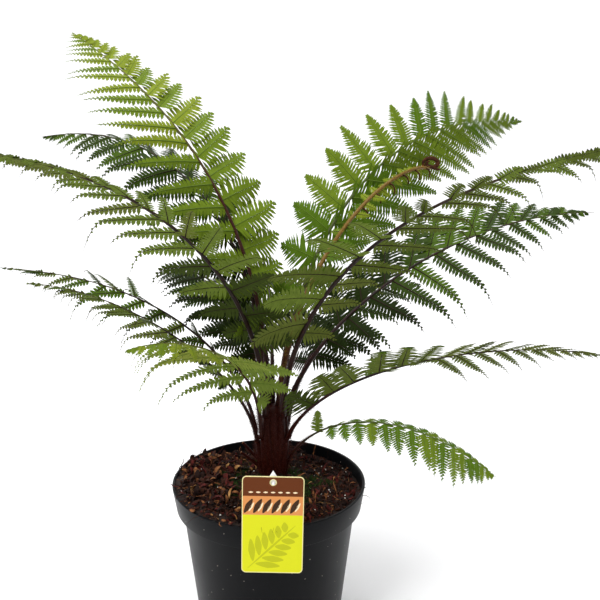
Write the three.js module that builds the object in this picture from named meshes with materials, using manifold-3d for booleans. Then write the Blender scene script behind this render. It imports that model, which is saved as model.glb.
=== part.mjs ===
// Young tree fern in a round black nursery pot.
// Millimetres, +Z up. The origin is the centre of the pot's flat underside.
// Each frond is a stipe (leaf stalk) and a thin blade, split in two at its bend.

import * as THREE from 'three';
import { mergeVertices } from 'three/addons/utils/BufferGeometryUtils.js';
import Module from 'manifold-3d';

const wasm = await Module();
wasm.setup();

// ---- driving sizes ----------------------------------------------------------

const GAP = 0.3;               // clearance between pieces that touch on the real plant
const END_GAP = 0.36;          // clearance end to end; wider, so that no two cutting faces coincide
const SLIVER = 0.1;            // edges shorter than this are cleaned off a cut piece

const POT_HEIGHT = 190;
const POT_BASE_R = 85;
const POT_BODY_R = 103;        // outside of the body where the collar starts
const COLLAR_HEIGHT = 29;
const COLLAR_LOW_R = 110.5;
const RIM_R = 115;
const RIM_LIP = 3.2;           // width of the flat top of the rim
const POT_WALL = 2;
const POT_FLOOR = 2.5;
const POT_SIDES = 36;

const TRUNK_X = 5;
const TRUNK_Y = 10;
const TRUNK_FOOT = POT_HEIGHT + 2.3;
const TRUNK_HEIGHT = 90;
// radius of the clump of stipe bases against its height above the compost
const TRUNK_TAPER = [
  [0, 15], [8, 18.5], [25, 21.5], [48, 21.5], [62, 19.5], [76, 18.5], [86, 17.5], [TRUNK_HEIGHT, 15],
];
const TRUNK_SIDES = 20;
const TRUNK_FLUTES = 5;        // broad ridges, one for each of the thickest stipe bases
const FLUTE_DEPTH = 1.1;

const SOIL_BACK = POT_HEIGHT - 14;
const SOIL_FRONT = POT_HEIGHT - 2;
const SOIL_MOUND = 3;          // rise towards the trunk, and height of the heap at the front left
const SOIL_HEAP = [-55, -45];  // where that heap stands
const SOIL_LUMPS = 1.3;
const SOIL_SIDES = 28;
const SOIL_RINGS = [1, 0.84, 0.66, 0.46, 0.24];

const LABEL_X = 8.5;
const LABEL_WIDTH = 67;
const LABEL_HEIGHT = 114;
const LABEL_THICK = 0.8;
const LABEL_CORNER = 5;
const LABEL_TOP = POT_HEIGHT + 62;
const LABEL_HOLE_R = 3.2;
const LABEL_HOLE_DROP = 7;     // from the card's top edge down to the middle of its hole
const LABEL_RIM_GAP = 0.45;    // between the card's back and the front of the rim
const LABEL_LEAN = 3;          // degrees; the card's foot stands further out than its head
const LABEL_TURN = 1.2;        // degrees clockwise in its own plane

const STAKE_WIDTH = 6.4;
const STAKE_THICK = 1.6;
const STAKE_LEAN = 3;          // degrees; the stake's head leans out, against the card
const STAKE_DEPTH = 25;        // how far the stake is pushed in below the rim
const LABEL_STAKE_GAP = 1.1;   // between card and stake at the hole; their tops nearly touch
const ARROW_RISE = 6;          // how far the arrow head stands above the card
const ARROW_WIDTH = 10.5;
const ARROW_LENGTH = 9;
const PEG_R = 1.6;             // peg on the stake that holds the card by its hole
const PEG_REACH = 1;           // how far the peg stands out in front of the card

const STIPE_R = 4;             // radius of a full-grown stipe where it leaves the trunk
const STIPE_TAPER = 0.7;       // its radius where the blade starts, as a share of that
const STIPE_SIDES = 6;
const BLADE_HALF = 1.5;        // half the blade's thickness along its rib
const BLADE_TIP = 2.5;         // half width of the blade's very tip
const CUT_HALF = 3;            // half thickness of the slot that one blade cuts in the next
const FOOT_REACH = 0.55;       // leaf branches at the blade's foot, as a share of the longest
const WIDEST = 0.3;            // where the longest leaf branches stand, along the blade
const TAPER_POWER = 1.6;       // how late the blade narrows towards its tip
const LEAN = [80, 55];         // angle between branch and rib, at the foot and at the tip
const SAG = 0.12;              // how far a branch hangs, as a share of its length
const NOTCH = 0.74;            // how far the outline falls back between two leaf branches

// Fronds. Angles in degrees, lengths in mm.
//   root    [angle round the trunk, distance from its axis, height above the rim]
//   heading compass direction, counter-clockwise from +X; sweep is its change to the tip
//   lift    steepness at the root; droop, bend: lift - droop * s ** bend; nod: tip only
//   roll, twist   turn of the blade about its rib, at the root and added by the tip
//   fold    how far both halves hang below the flat; reach: longest leaf branch (pinna)
//   stipe   share of the length that is bare stalk; pairs: leaf branches on each side
const FRONDS = {
  tall_left: { root: [150, 7, 88], heading: 155, sweep: 0, lift: 90, droop: 73, bend: 1.25, nod: -12,
    length: 523, roll: 7, twist: -24, fold: 2, reach: 88, stipe: 0.2, pairs: 16, thick: 1 },
  broad_right: { root: [62, 15, 88], heading: 55, sweep: -15, lift: 84, droop: 112, bend: 0.95, nod: -23,
    length: 655, roll: 32, twist: 52, fold: 2, reach: 74, stipe: 0.2, pairs: 18, thick: 1 },
  young_right: { root: [20, 7, 90], heading: 27, sweep: 29, lift: 85, droop: 94, bend: 1.2, nod: 3,
    length: 425, roll: 5, twist: 13, fold: 10, reach: 42, stipe: 0.42, pairs: 12, thick: 1 },
  back_left: { root: [130, 15, 86], heading: 132, sweep: 24, lift: 90, droop: 123, bend: 1.3, nod: -22,
    length: 536, roll: 0, twist: -14, fold: 8, reach: 76, stipe: 0.24, pairs: 14, thick: 0.9 },
  front_left: { root: [240, 16, 84], heading: 226, sweep: -26, lift: 90, droop: 79, bend: 0.9, nod: 0,
    length: 477, roll: -3, twist: 32, fold: 0, reach: 84, stipe: 0.2, pairs: 16, thick: 1 },
  front_right: { root: [-45, 16, 84], heading: -40, sweep: 22, lift: 90, droop: 85, bend: 0.75, nod: -10,
    length: 537, roll: -22, twist: -6, fold: 3, reach: 82, stipe: 0.2, pairs: 16, thick: 1 },
  right: { root: [-8, 16, 82], heading: 11, sweep: 4, lift: 85, droop: 82, bend: 0.55, nod: 8,
    length: 472, roll: 8, twist: 8, fold: 13, reach: 84, stipe: 0.18, pairs: 15, thick: 0.9 },
  low_right: { root: [-32, 21, 55], heading: -34, sweep: 34, lift: 83, droop: 84, bend: 0.4, nod: 12,
    length: 408, roll: -20, twist: -30, fold: 1, reach: 66, stipe: 0.18, pairs: 14, thick: 0.7 },
  small_right: { root: [-20, 20, 26], heading: -21, sweep: -1, lift: 70, droop: 112, bend: 0.7, nod: -9,
    length: 279, roll: 4, twist: 5, fold: 30, reach: 47, stipe: 0.16, pairs: 13, thick: 0.5 },
  low_left: { root: [178, 21, 55], heading: 176, sweep: -4, lift: 90, droop: 100, bend: 0.7, nod: -12,
    length: 398, roll: -7, twist: 2, fold: 14, reach: 56, stipe: 0.24, pairs: 13, thick: 0.6 },
  lower_left: { root: [203, 21, 50], heading: 206, sweep: -30, lift: 88, droop: 72, bend: 0.55, nod: 16,
    length: 350, roll: 12, twist: 12, fold: 26, reach: 57, stipe: 0.24, pairs: 12, thick: 0.6 },
  near_left: { root: [230, 21, 58], heading: 252, sweep: -56, lift: 88, droop: 87, bend: 0.9, nod: 19,
    length: 261, roll: 5, twist: -10, fold: 20, reach: 72, stipe: 0.2, pairs: 12, thick: 0.7 },
  inner_left: { root: [126, 15, 80], heading: 134, sweep: 4, lift: 88, droop: 122, bend: 1.2, nod: 0,
    length: 290, roll: 12, twist: -17, fold: 10, reach: 68, stipe: 0.24, pairs: 12, thick: 0.8 },
  back_middle: { root: [93, 16, 78], heading: 92, sweep: 4, lift: 84, droop: 128, bend: 0.7, nod: 0,
    length: 400, roll: 0, twist: 0, fold: 14, reach: 70, stipe: 0.2, pairs: 13, thick: 0.8 },
  back_low_left: { root: [112, 20, 52], heading: 112, sweep: 6, lift: 78, droop: 96, bend: 0.6, nod: 0,
    length: 400, roll: 4, twist: 6, fold: 16, reach: 62, stipe: 0.2, pairs: 12, thick: 0.7 },
  back_low_right: { root: [36, 20, 60], heading: 60, sweep: -8, lift: 80, droop: 102, bend: 0.6, nod: 0,
    length: 390, roll: -4, twist: 4, fold: 16, reach: 62, stipe: 0.2, pairs: 12, thick: 0.7 },
};
const SPLIT = 0.5;             // where along its length a blade is split

const CROZIER_R = 10;          // the coiled tip of the young frond: radius of its outer turn
const CROZIER_EYE_R = 3;
const CROZIER_TURNS = 1.5;
const CROZIER_TUBE_R = 1.9;
const CROZIER_STEPS = 18;

const CUT_STUBS = {
  stub_upper: { root: [168, 20, 22], heading: 176, lift: 50, length: 26, thick: 0.5 },
  stub_lower: { root: [190, 19, 17], heading: 186, lift: 42, length: 26, thick: 0.45 },
};

// ---- small helpers ----------------------------------------------------------

const rad = THREE.MathUtils.degToRad;
const { clamp, lerp, smoothstep } = THREE.MathUtils;

function indexed(points, triangles) {
  const geometry = new THREE.BufferGeometry();
  geometry.setAttribute('position', new THREE.Float32BufferAttribute(points.flatMap((p) => p.toArray()), 3));
  geometry.setIndex(triangles);
  geometry.computeVertexNormals();
  return geometry;
}

function middleOf(ring) {
  const middle = new THREE.Vector3();
  for (const p of ring) middle.addScaledVector(p, 1 / ring.length);
  return middle;
}

// A closed skin over rings of equal length, with each end closed by a fan round its hub.
function loft(rings, hubs = [middleOf(rings[0]), middleOf(rings.at(-1))]) {
  const n = rings[0].length;
  const points = rings.flat();
  const triangles = [];
  for (let k = 0; k < rings.length - 1; k += 1) {
    for (let j = 0; j < n; j += 1) {
      const a = k * n + j;
      const b = k * n + ((j + 1) % n);
      triangles.push(a, b, b + n, a, b + n, a + n);
    }
  }
  for (const [k, turn] of [[0, 1], [rings.length - 1, -1]]) {
    const hub = points.push(hubs[k > 0 ? 1 : 0]) - 1;
    for (let j = 0; j < n; j += 1) {
      const a = k * n + j;
      const b = k * n + ((j + 1) % n);
      triangles.push(...(turn > 0 ? [hub, b, a] : [hub, a, b]));
    }
  }
  return indexed(points, triangles);
}

function toSolid(geometry) {
  const bare = geometry.clone();
  bare.deleteAttribute('normal');
  bare.deleteAttribute('uv');
  const merged = mergeVertices(bare, 1e-4);
  const solid = new wasm.Manifold(new wasm.Mesh({
    numProp: 3,
    vertProperties: new Float32Array(merged.attributes.position.array),
    triVerts: new Uint32Array(merged.index.array),
  }));
  return solid.volume() < 0 ? flipped(merged) : solid;
}

function flipped(merged) {
  const turned = Uint32Array.from(merged.index.array);
  for (let i = 0; i < turned.length; i += 3) [turned[i + 1], turned[i + 2]] = [turned[i + 2], turned[i + 1]];
  return new wasm.Manifold(new wasm.Mesh({
    numProp: 3,
    vertProperties: new Float32Array(merged.attributes.position.array),
    triVerts: turned,
  }));
}

function toGeometry(solid) {
  const mesh = solid.getMesh();
  const geometry = new THREE.BufferGeometry();
  geometry.setAttribute('position', new THREE.Float32BufferAttribute(mesh.vertProperties, 3));
  geometry.setIndex(Array.from(mesh.triVerts));
  geometry.computeVertexNormals();
  return geometry;
}

// The biggest single piece of what is left after cutting, without its slivers.
function biggest(solid) {
  const pieces = solid.simplify(SLIVER).decompose();
  return pieces.reduce((best, piece) => (piece.volume() > best.volume() ? piece : best));
}

// ---- materials --------------------------------------------------------------

const finish = (color, roughness) => new THREE.MeshStandardMaterial({ color, roughness, metalness: 0 });
const MATERIALS = {
  pot: () => finish('#1b1b1e', 0.45),
  soil: () => finish('#3b2417', 0.95),
  stalk: () => finish('#3a1512', 0.7),
  leaf: () => finish('#5f8c2f', 0.6),
  young: () => finish('#7a4a1c', 0.7),
  card: () => finish('#d9df2c', 0.4),
  plastic: () => finish('#f2f2ee', 0.35),
};

const fern = new THREE.Group();
fern.name = 'tree_fern';

function addNode(name, geometry, material) {
  const mesh = new THREE.Mesh(geometry, MATERIALS[material]());
  mesh.name = name;
  fern.add(mesh);
}

// ---- pot and compost --------------------------------------------------------

const collarFoot = POT_HEIGHT - COLLAR_HEIGHT;
const potInnerBodyR = POT_BODY_R - POT_WALL;
const potInnerBaseR = POT_BASE_R - POT_WALL;
const collarInnerLowR = COLLAR_LOW_R - POT_WALL;

function pot() {
  const profile = [
    [0, 0], [POT_BASE_R - 1.5, 0], [POT_BASE_R, 1.5], [POT_BODY_R, collarFoot],
    [COLLAR_LOW_R, collarFoot], [RIM_R, POT_HEIGHT - 1], [RIM_R - 0.8, POT_HEIGHT],
    [RIM_R - RIM_LIP, POT_HEIGHT], [collarInnerLowR, collarFoot + POT_WALL],
    [potInnerBodyR, collarFoot + POT_WALL], [potInnerBaseR, POT_FLOOR], [0, POT_FLOOR],
  ];
  const lathe = new THREE.LatheGeometry(profile.map(([r, z]) => new THREE.Vector2(r, z)), POT_SIDES);
  return lathe.rotateX(Math.PI / 2);
}

// Compost is heaped against the front and the left, and falls away at the back.
function soilHeight(x, y) {
  const slope = lerp(SOIL_BACK, SOIL_FRONT, smoothstep(-(y * 0.8 + x * 0.5), -70, 60));
  const fromTrunk = Math.hypot(x - TRUNK_X, y - TRUNK_Y);
  const fromHeap = Math.hypot(x - SOIL_HEAP[0], y - SOIL_HEAP[1]);
  const rise = SOIL_MOUND * (Math.exp(-((fromTrunk / 50) ** 2)) + Math.exp(-((fromHeap / 37) ** 2)));
  const lumps = SOIL_LUMPS * Math.sin(x * 0.11 + 1) * Math.cos(y * 0.13);
  const seat = TRUNK_FOOT - GAP;
  return Math.min(lerp(seat, slope + rise + lumps, smoothstep(fromTrunk, 20, 42)), seat);
}

function soil() {
  const wallSlope = (RIM_R - RIM_LIP - collarInnerLowR) / (COLLAR_HEIGHT - POT_WALL);
  const wallR = collarInnerLowR + (SOIL_BACK - collarFoot - POT_WALL) * wallSlope - GAP;
  // the pot is faceted too, so rings stay inside the flats between its corners
  const ring = (radius, heightAt) => Array.from({ length: SOIL_SIDES }, (_, j) => {
    const angle = (j / SOIL_SIDES) * 2 * Math.PI;
    const r = radius * Math.cos(Math.PI / POT_SIDES);
    const x = r * Math.cos(angle);
    const y = r * Math.sin(angle);
    return new THREE.Vector3(x, y, heightAt(x, y));
  });
  const stepTop = collarFoot + POT_WALL + GAP;
  const body = toSolid(loft([
    ring(potInnerBaseR - GAP, () => POT_FLOOR + GAP),
    ring(potInnerBodyR - GAP, () => stepTop - GAP),
    ring(potInnerBodyR - GAP, () => stepTop),
    ring(collarInnerLowR - GAP, () => stepTop),
    ...SOIL_RINGS.map((share) => ring(wallR * share, soilHeight)),
  ]));
  return toGeometry(body.subtract(stake(GAP)));
}

// ---- label and its stake ----------------------------------------------------

const cardLean = rad(LABEL_LEAN);
const stakeLean = rad(STAKE_LEAN);
const cardBackY = (z) => -RIM_R - LABEL_RIM_GAP + (z - POT_HEIGHT) * Math.tan(cardLean);
const holeZ = LABEL_TOP - LABEL_HOLE_DROP;

// Turns a flat shape drawn in X and Y, with its thickness in Z, to stand up and face -Y.
function stood(geometry, lean, point) {
  geometry.rotateX(Math.PI / 2 + lean);
  return geometry.translate(point.x, point.y, point.z);
}

function label() {
  const w = LABEL_WIDTH / 2;
  const c = LABEL_CORNER;
  const top = LABEL_HOLE_DROP;
  const foot = top - LABEL_HEIGHT;
  const outline = new THREE.Shape();
  outline.moveTo(-w + c, foot);
  outline.absarc(w - c, foot + c, c, -Math.PI / 2, 0);
  outline.absarc(w - c, top - c, c, 0, Math.PI / 2);
  outline.absarc(-w + c, top - c, c, Math.PI / 2, Math.PI);
  outline.absarc(-w + c, foot + c, c, Math.PI, Math.PI * 1.5);
  const hole = new THREE.Path();
  hole.absarc(0, 0, LABEL_HOLE_R, 0, Math.PI * 2, true);
  outline.holes.push(hole);
  const flat = { depth: LABEL_THICK, bevelEnabled: false, curveSegments: 5 };
  const card = new THREE.ExtrudeGeometry(outline, flat);
  card.rotateZ(-rad(LABEL_TURN));
  return stood(card, -cardLean, new THREE.Vector3(LABEL_X, cardBackY(holeZ), holeZ));
}

function stake(grow) {
  const w = STAKE_WIDTH / 2 + grow;
  const barb = ARROW_WIDTH / 2 + grow;
  const tip = LABEL_HOLE_DROP + ARROW_RISE + grow;
  const neck = tip - ARROW_LENGTH;
  const foot = POT_HEIGHT - STAKE_DEPTH - holeZ - grow;
  const corners = [
    [0, foot], [w, foot + w], [w, neck], [barb, neck], [0, tip], [-barb, neck], [-w, neck], [-w, foot + w],
  ];
  const outline = new THREE.Shape(corners.map(([x, y]) => new THREE.Vector2(x, y)));
  const blank = new THREE.ExtrudeGeometry(outline, { depth: STAKE_THICK + 2 * grow, bevelEnabled: false });
  blank.translate(0, 0, -STAKE_THICK - grow);
  const front = cardBackY(holeZ) + LABEL_STAKE_GAP;
  const strip = stood(blank, stakeLean, new THREE.Vector3(LABEL_X, front, holeZ));
  const pegLength = PEG_REACH + LABEL_THICK + LABEL_STAKE_GAP + STAKE_THICK / 2;
  const peg = new THREE.CylinderGeometry(PEG_R, PEG_R, pegLength, 10);
  const pegFront = cardBackY(holeZ) - LABEL_THICK - PEG_REACH;
  peg.translate(LABEL_X, pegFront + pegLength / 2, holeZ - LABEL_HOLE_R + PEG_R + 2 * GAP);
  return toSolid(strip).add(toSolid(peg));
}

// ---- trunk ------------------------------------------------------------------

function trunk(grow) {
  const rings = TRUNK_TAPER.map(([height, radius]) => {
    const z = TRUNK_FOOT + height + (height === TRUNK_HEIGHT ? grow : 0);
    return Array.from({ length: TRUNK_SIDES }, (_, j) => {
      const angle = (j / TRUNK_SIDES) * 2 * Math.PI;
      const flute = FLUTE_DEPTH * Math.cos(TRUNK_FLUTES * angle + height * 0.02);
      const r = radius + flute + grow;
      return new THREE.Vector3(TRUNK_X + r * Math.cos(angle), TRUNK_Y + r * Math.sin(angle), z);
    });
  });
  return loft(rings);
}

// ---- fronds -----------------------------------------------------------------

const RIB_STEPS = 80;

// Points along a frond's rib, each with its own axes: along, side (to the left) and up.
function rib(frond) {
  const [angle, distance, height] = frond.root;
  const point = new THREE.Vector3(TRUNK_X, TRUNK_Y, POT_HEIGHT + height);
  point.x += distance * Math.cos(rad(angle));
  point.y += distance * Math.sin(rad(angle));
  const stations = [];
  for (let k = 0; k <= RIB_STEPS; k += 1) {
    const s = k / RIB_STEPS;
    const pitch = rad(frond.lift - (frond.droop ?? 0) * s ** (frond.bend ?? 1) - (frond.nod ?? 0) * s ** 5);
    const heading = rad(frond.heading + (frond.sweep ?? 0) * s);
    const along = new THREE.Vector3(
      Math.cos(pitch) * Math.cos(heading), Math.cos(pitch) * Math.sin(heading), Math.sin(pitch));
    const roll = rad((frond.roll ?? 0) + (frond.twist ?? 0) * s);
    const side = new THREE.Vector3(-Math.sin(heading), Math.cos(heading), 0).applyAxisAngle(along, roll);
    const up = new THREE.Vector3().crossVectors(along, side);
    if (k > 0) {
      const middle = along.clone().add(stations[k - 1].along).multiplyScalar(0.5);
      point.addScaledVector(middle, frond.length / RIB_STEPS);
    }
    stations.push({ s, point: point.clone(), along, side, up });
  }
  return stations;
}

function stationAt(stations, s) {
  const x = clamp(s, 0, 1) * RIB_STEPS;
  const i = Math.min(Math.floor(x), RIB_STEPS - 1);
  const mix = (key) => stations[i][key].clone().lerp(stations[i + 1][key], x - i);
  return { s, point: mix('point'), along: mix('along'), side: mix('side'), up: mix('up') };
}

// Adds one more ring, and its point on the spine, beyond each end.
function lengthen(rings, spine, extra) {
  const away = (end, next) => spine.at(end).clone().sub(spine.at(next)).setLength(extra);
  const [back, onward] = [away(0, 1), away(-1, -2)];
  const moved = (points, by) => points.map((p) => p.clone().add(by));
  rings.unshift(moved(rings[0], back));
  rings.push(moved(rings.at(-1), onward));
  spine.unshift(spine[0].clone().add(back));
  spine.push(spine.at(-1).clone().add(onward));
}

// A round limb along the rib, between two shares of its length.
function limb(stations, from, to, radiusAt, steps) {
  const rings = [];
  for (let k = 0; k <= steps; k += 1) {
    const at = stationAt(stations, lerp(from, to, k / steps));
    const r = radiusAt(at.s);
    rings.push(Array.from({ length: STIPE_SIDES }, (_, j) => {
      const angle = (j / STIPE_SIDES) * 2 * Math.PI;
      return at.point.clone()
        .addScaledVector(at.side, r * Math.cos(angle))
        .addScaledVector(at.up, r * Math.sin(angle));
    }));
  }
  return loft(rings);
}

// Length of a leaf branch, as a share of the longest, from the blade's foot (0) to its tip (1).
function reachAt(t) {
  const foot = lerp(FOOT_REACH, 1, smoothstep(t, 0, WIDEST));
  return foot * (1 - clamp((t - WIDEST) / (1 - WIDEST), 0, 1) ** TAPER_POWER);
}

// The thin blade between two shares of the frond's length, with a tooth for each leaf branch.
// With grow above 0 it is a wider, stouter shape with no teeth, which later blades are cut back from.
function blade(frond, stations, from, to, grow) {
  const foot = frond.stipe;
  const teeth = Math.max(2, Math.round(2 * frond.pairs * (to - from) / (1 - foot)));
  const rings = [];
  const spine = [];
  for (let k = 0; k <= teeth; k += 1) {
    const s = lerp(from, to, k / teeth);
    const t = clamp((s - foot) / (1 - foot), 0, 1);
    const at = stationAt(stations, s);
    spine.push(at.point);
    const tooth = grow > 0 || k % 2 === 0 ? 1 : NOTCH;
    const reach = Math.max(frond.reach * reachAt(t) * tooth, BLADE_TIP) + grow;
    const lean = rad(lerp(...LEAN, t));
    const half = grow > 0 ? CUT_HALF : BLADE_HALF * lerp(1, 0.5, t);
    const edge = (hand, lift) => {
      const out = at.side.clone().multiplyScalar(hand * Math.cos(rad(frond.fold)))
        .addScaledVector(at.up, -Math.sin(rad(frond.fold)));
      const tip = at.point.clone()
        .addScaledVector(at.along, Math.cos(lean) * reach)
        .addScaledVector(out, Math.sin(lean) * reach)
        .addScaledVector(at.up, lift);
      tip.z -= SAG * reach;
      return tip;
    };
    const top = at.point.clone().addScaledVector(at.up, half);
    const bottom = at.point.clone().addScaledVector(at.up, -half);
    rings.push(grow > 0
      ? [edge(-1, -CUT_HALF), edge(-1, CUT_HALF), top, edge(1, CUT_HALF), edge(1, -CUT_HALF), bottom]
      : [edge(-1, 0), top, edge(1, 0), bottom]);
  }
  if (grow > 0) lengthen(rings, spine, grow);
  return loft(rings, [spine[0], spine.at(-1)]);
}

// The young frond's tip is still coiled: a tube wound inwards in a flat spiral, curling up.
function crozier(stations, grow) {
  const { point, along, side, up } = stations.at(-1);
  const centre = point.clone().addScaledVector(along, END_GAP).addScaledVector(up, CROZIER_R);
  const rings = [];
  for (let k = 0; k <= CROZIER_STEPS; k += 1) {
    const share = k / CROZIER_STEPS;
    const turn = share * CROZIER_TURNS * 2 * Math.PI;
    const coil = lerp(CROZIER_R, CROZIER_EYE_R, share);
    const tube = CROZIER_TUBE_R * lerp(1, 0.7, share) + grow;
    const outward = along.clone().multiplyScalar(Math.sin(turn)).addScaledVector(up, -Math.cos(turn));
    rings.push(Array.from({ length: STIPE_SIDES }, (_, j) => {
      const angle = (j / STIPE_SIDES) * 2 * Math.PI;
      return centre.clone()
        .addScaledVector(outward, coil + tube * Math.cos(angle))
        .addScaledVector(side, tube * Math.sin(angle));
    }));
  }
  return loft(rings);
}

// Every frond piece is trimmed back from the pieces already there, so nothing overlaps.
const standing = [{ solid: toSolid(trunk(GAP)) }];

function trimmed(solid) {
  let rest = solid;
  for (const other of standing) rest = rest.subtract(other.solid);
  return biggest(rest);
}

function addPiece(name, exact, grown, material) {
  const piece = trimmed(toSolid(exact));
  addNode(name, toGeometry(piece), material);
  standing.push({ solid: toSolid(grown) });
}

function addStipe(name, frond, stations) {
  const base = STIPE_R * frond.thick;
  const radius = (grow) => (s) => lerp(base, base * STIPE_TAPER, s / frond.stipe) + grow;
  const end = frond.stipe - END_GAP / frond.length;
  const steps = Math.max(4, Math.round((frond.length * frond.stipe) / 16));
  addPiece(`stipe_${name}`, limb(stations, 0, end, radius(0), steps),
    limb(stations, 0, end, radius(GAP), steps), 'stalk');
}

function addBlades(name, frond, stations) {
  const half = END_GAP / 2 / frond.length;
  const material = name === 'young_right' ? 'young' : 'leaf';
  for (const [part, from, to] of [['inner', frond.stipe, SPLIT - half], ['outer', SPLIT + half, 1]]) {
    addPiece(`blade_${name}_${part}`, blade(frond, stations, from, to, 0),
      blade(frond, stations, from, to, GAP), material);
  }
}

addNode('pot', pot(), 'pot');
addNode('compost', soil(), 'soil');
addNode('trunk', trunk(0), 'stalk');
addNode('label_stake', toGeometry(stake(0)), 'plastic');
addNode('label_card', label(), 'card');

const ribs = {};
for (const [name, frond] of Object.entries(FRONDS)) {
  ribs[name] = rib(frond);
  addStipe(name, frond, ribs[name]);
}
for (const [name, frond] of Object.entries(FRONDS)) addBlades(name, frond, ribs[name]);
const youngTip = ribs.young_right;
addPiece('crozier', crozier(youngTip, 0), crozier(youngTip, GAP), 'stalk');
for (const [name, frond] of Object.entries(CUT_STUBS)) {
  const stations = rib(frond);
  const radius = (grow) => () => STIPE_R * frond.thick + grow;
  addPiece(name, limb(stations, 0, 1, radius(0), 2), limb(stations, 0, 1, radius(GAP), 2), 'stalk');
}

export default fern;
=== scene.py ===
# %% [markdown]
# # A young tree fern in a black nursery pot
# The plant is a short clump of dark stipes (leaf stalks) with sixteen arching fronds round it.
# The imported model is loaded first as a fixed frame: it says how big everything is and where it
# stands. Every piece made here takes the place of one of its plain solids.

import math

import bmesh
import bpy
import numpy as np
from mathutils import Matrix, Vector, noise


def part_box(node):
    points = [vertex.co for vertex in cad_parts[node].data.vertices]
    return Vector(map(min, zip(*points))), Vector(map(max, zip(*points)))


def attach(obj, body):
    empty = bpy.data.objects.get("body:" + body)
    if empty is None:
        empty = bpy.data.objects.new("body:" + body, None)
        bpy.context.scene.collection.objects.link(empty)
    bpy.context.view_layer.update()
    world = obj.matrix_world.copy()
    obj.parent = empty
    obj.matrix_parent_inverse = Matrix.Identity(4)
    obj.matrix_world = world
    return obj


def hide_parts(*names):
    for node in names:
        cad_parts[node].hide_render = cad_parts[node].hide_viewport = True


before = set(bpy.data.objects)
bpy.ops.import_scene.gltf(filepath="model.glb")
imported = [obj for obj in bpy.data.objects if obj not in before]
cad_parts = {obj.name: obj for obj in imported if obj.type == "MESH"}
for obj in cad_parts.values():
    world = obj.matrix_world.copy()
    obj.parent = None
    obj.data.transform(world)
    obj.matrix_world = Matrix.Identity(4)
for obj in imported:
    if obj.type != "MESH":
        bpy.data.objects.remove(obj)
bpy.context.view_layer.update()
print("nodes in the frame:", len(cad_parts))

MM = 0.001
POT_LOW, POT_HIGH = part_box("pot")
TRUNK_LOW, TRUNK_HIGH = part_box("trunk")
RIM_Z = POT_HIGH.z
RIM_R = (POT_HIGH.x - POT_LOW.x) / 2
print("pot:", round(2 * RIM_R / MM), "mm across,", round(RIM_Z / MM), "mm tall")

# %% [markdown]
# ## Camera
# It stands in front, a little above the crown, and looks down by 17 degrees. The camera comes
# first, because everything is judged through it.

# %% Camera
LOOK_DOWN = 17
camera_data = bpy.data.cameras.new("camera")
camera_data.lens = 60
camera_data.sensor_width = 36
camera = bpy.data.objects.new("camera", camera_data)
camera.location = (0.0372, -1.082, 0.746)
camera.rotation_euler = (math.radians(90 - LOOK_DOWN), 0, 0)
bpy.context.scene.collection.objects.link(camera)
bpy.context.scene.camera = camera
print("lens:", camera_data.lens, "mm")

# %% [markdown]
# ## Floor, backdrop and light
# The plant stands on a pale sweep, a floor that curves up behind it, under large soft lights.
# A sweep has no corner, so the background stays one even pale tone.

# %% Colour helper
def linear(code, alpha=1.0):
    """Turns a colour written as sRGB hex into the linear values that shaders take."""
    channels = [int(code[i:i + 2], 16) / 255 for i in (1, 3, 5)]
    steps = [c / 12.92 if c <= 0.04045 else ((c + 0.055) / 1.055) ** 2.4 for c in channels]
    return (*steps, alpha)


# %% Node helpers
def add_node(material, kind, inputs=None, **settings):
    """Adds one node with its settings. An input is a plain value or another node's output."""
    tree = material.node_tree
    made = tree.nodes.new(kind)
    for name, value in settings.items():
        setattr(made, name, value)
    for name, value in (inputs or {}).items():
        by_name = (s for s in made.inputs if name in (s.identifier, s.name))
        socket = made.inputs[name] if isinstance(name, int) else next(by_name)
        if isinstance(value, bpy.types.NodeSocket):
            tree.links.new(value, socket)
        else:
            socket.default_value = value
    return made


def new_material(name, **values):
    """A material with one Principled shader, whose sockets take the given plain values."""
    made = bpy.data.materials.new(name)
    made.use_nodes = True
    shader = made.node_tree.nodes["Principled BSDF"]
    for socket, value in values.items():
        shader.inputs[socket.replace("_", " ")].default_value = value
    return made, shader


# %% Sweep and lights
def sweep():
    shape = bmesh.new()
    low = shape.verts.new((-4, -3, 0))
    high = shape.verts.new((4, -3, 0))
    edge = shape.edges.new((low, high))
    bend = [(1.2 + math.sin(a), 1 - math.cos(a)) for a in np.linspace(0.2, 1.57, 8)]
    for y, z in [(1.2, 0), *bend, (2.2, 4)]:
        made = bmesh.ops.extrude_edge_only(shape, edges=[edge])["geom"]
        edge = next(e for e in made if isinstance(e, bmesh.types.BMEdge) and len(e.link_faces) == 1
                    and all(v in made for v in e.verts))
        for v in edge.verts:
            v.co.y, v.co.z = y, z
    mesh = bpy.data.meshes.new("sweep")
    shape.to_mesh(mesh)
    shape.free()
    for face in mesh.polygons:
        face.use_smooth = True
    return bpy.data.objects.new("sweep", mesh)


paper, _ = new_material("matt_white_backdrop_paper", Base_Color=linear("#f7f7f7"), Roughness=0.9)
backdrop = sweep()
backdrop.data.materials.append(paper)
bpy.context.scene.collection.objects.link(backdrop)


def area_light(name, place, target, size, watts):
    data = bpy.data.lights.new(name, "AREA")
    data.size = size
    data.energy = watts
    light = bpy.data.objects.new(name, data)
    light.location = place
    light.rotation_mode = "QUATERNION"
    light.rotation_quaternion = (Vector(target) - Vector(place)).to_track_quat("-Z", "Y")
    bpy.context.scene.collection.objects.link(light)


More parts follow.
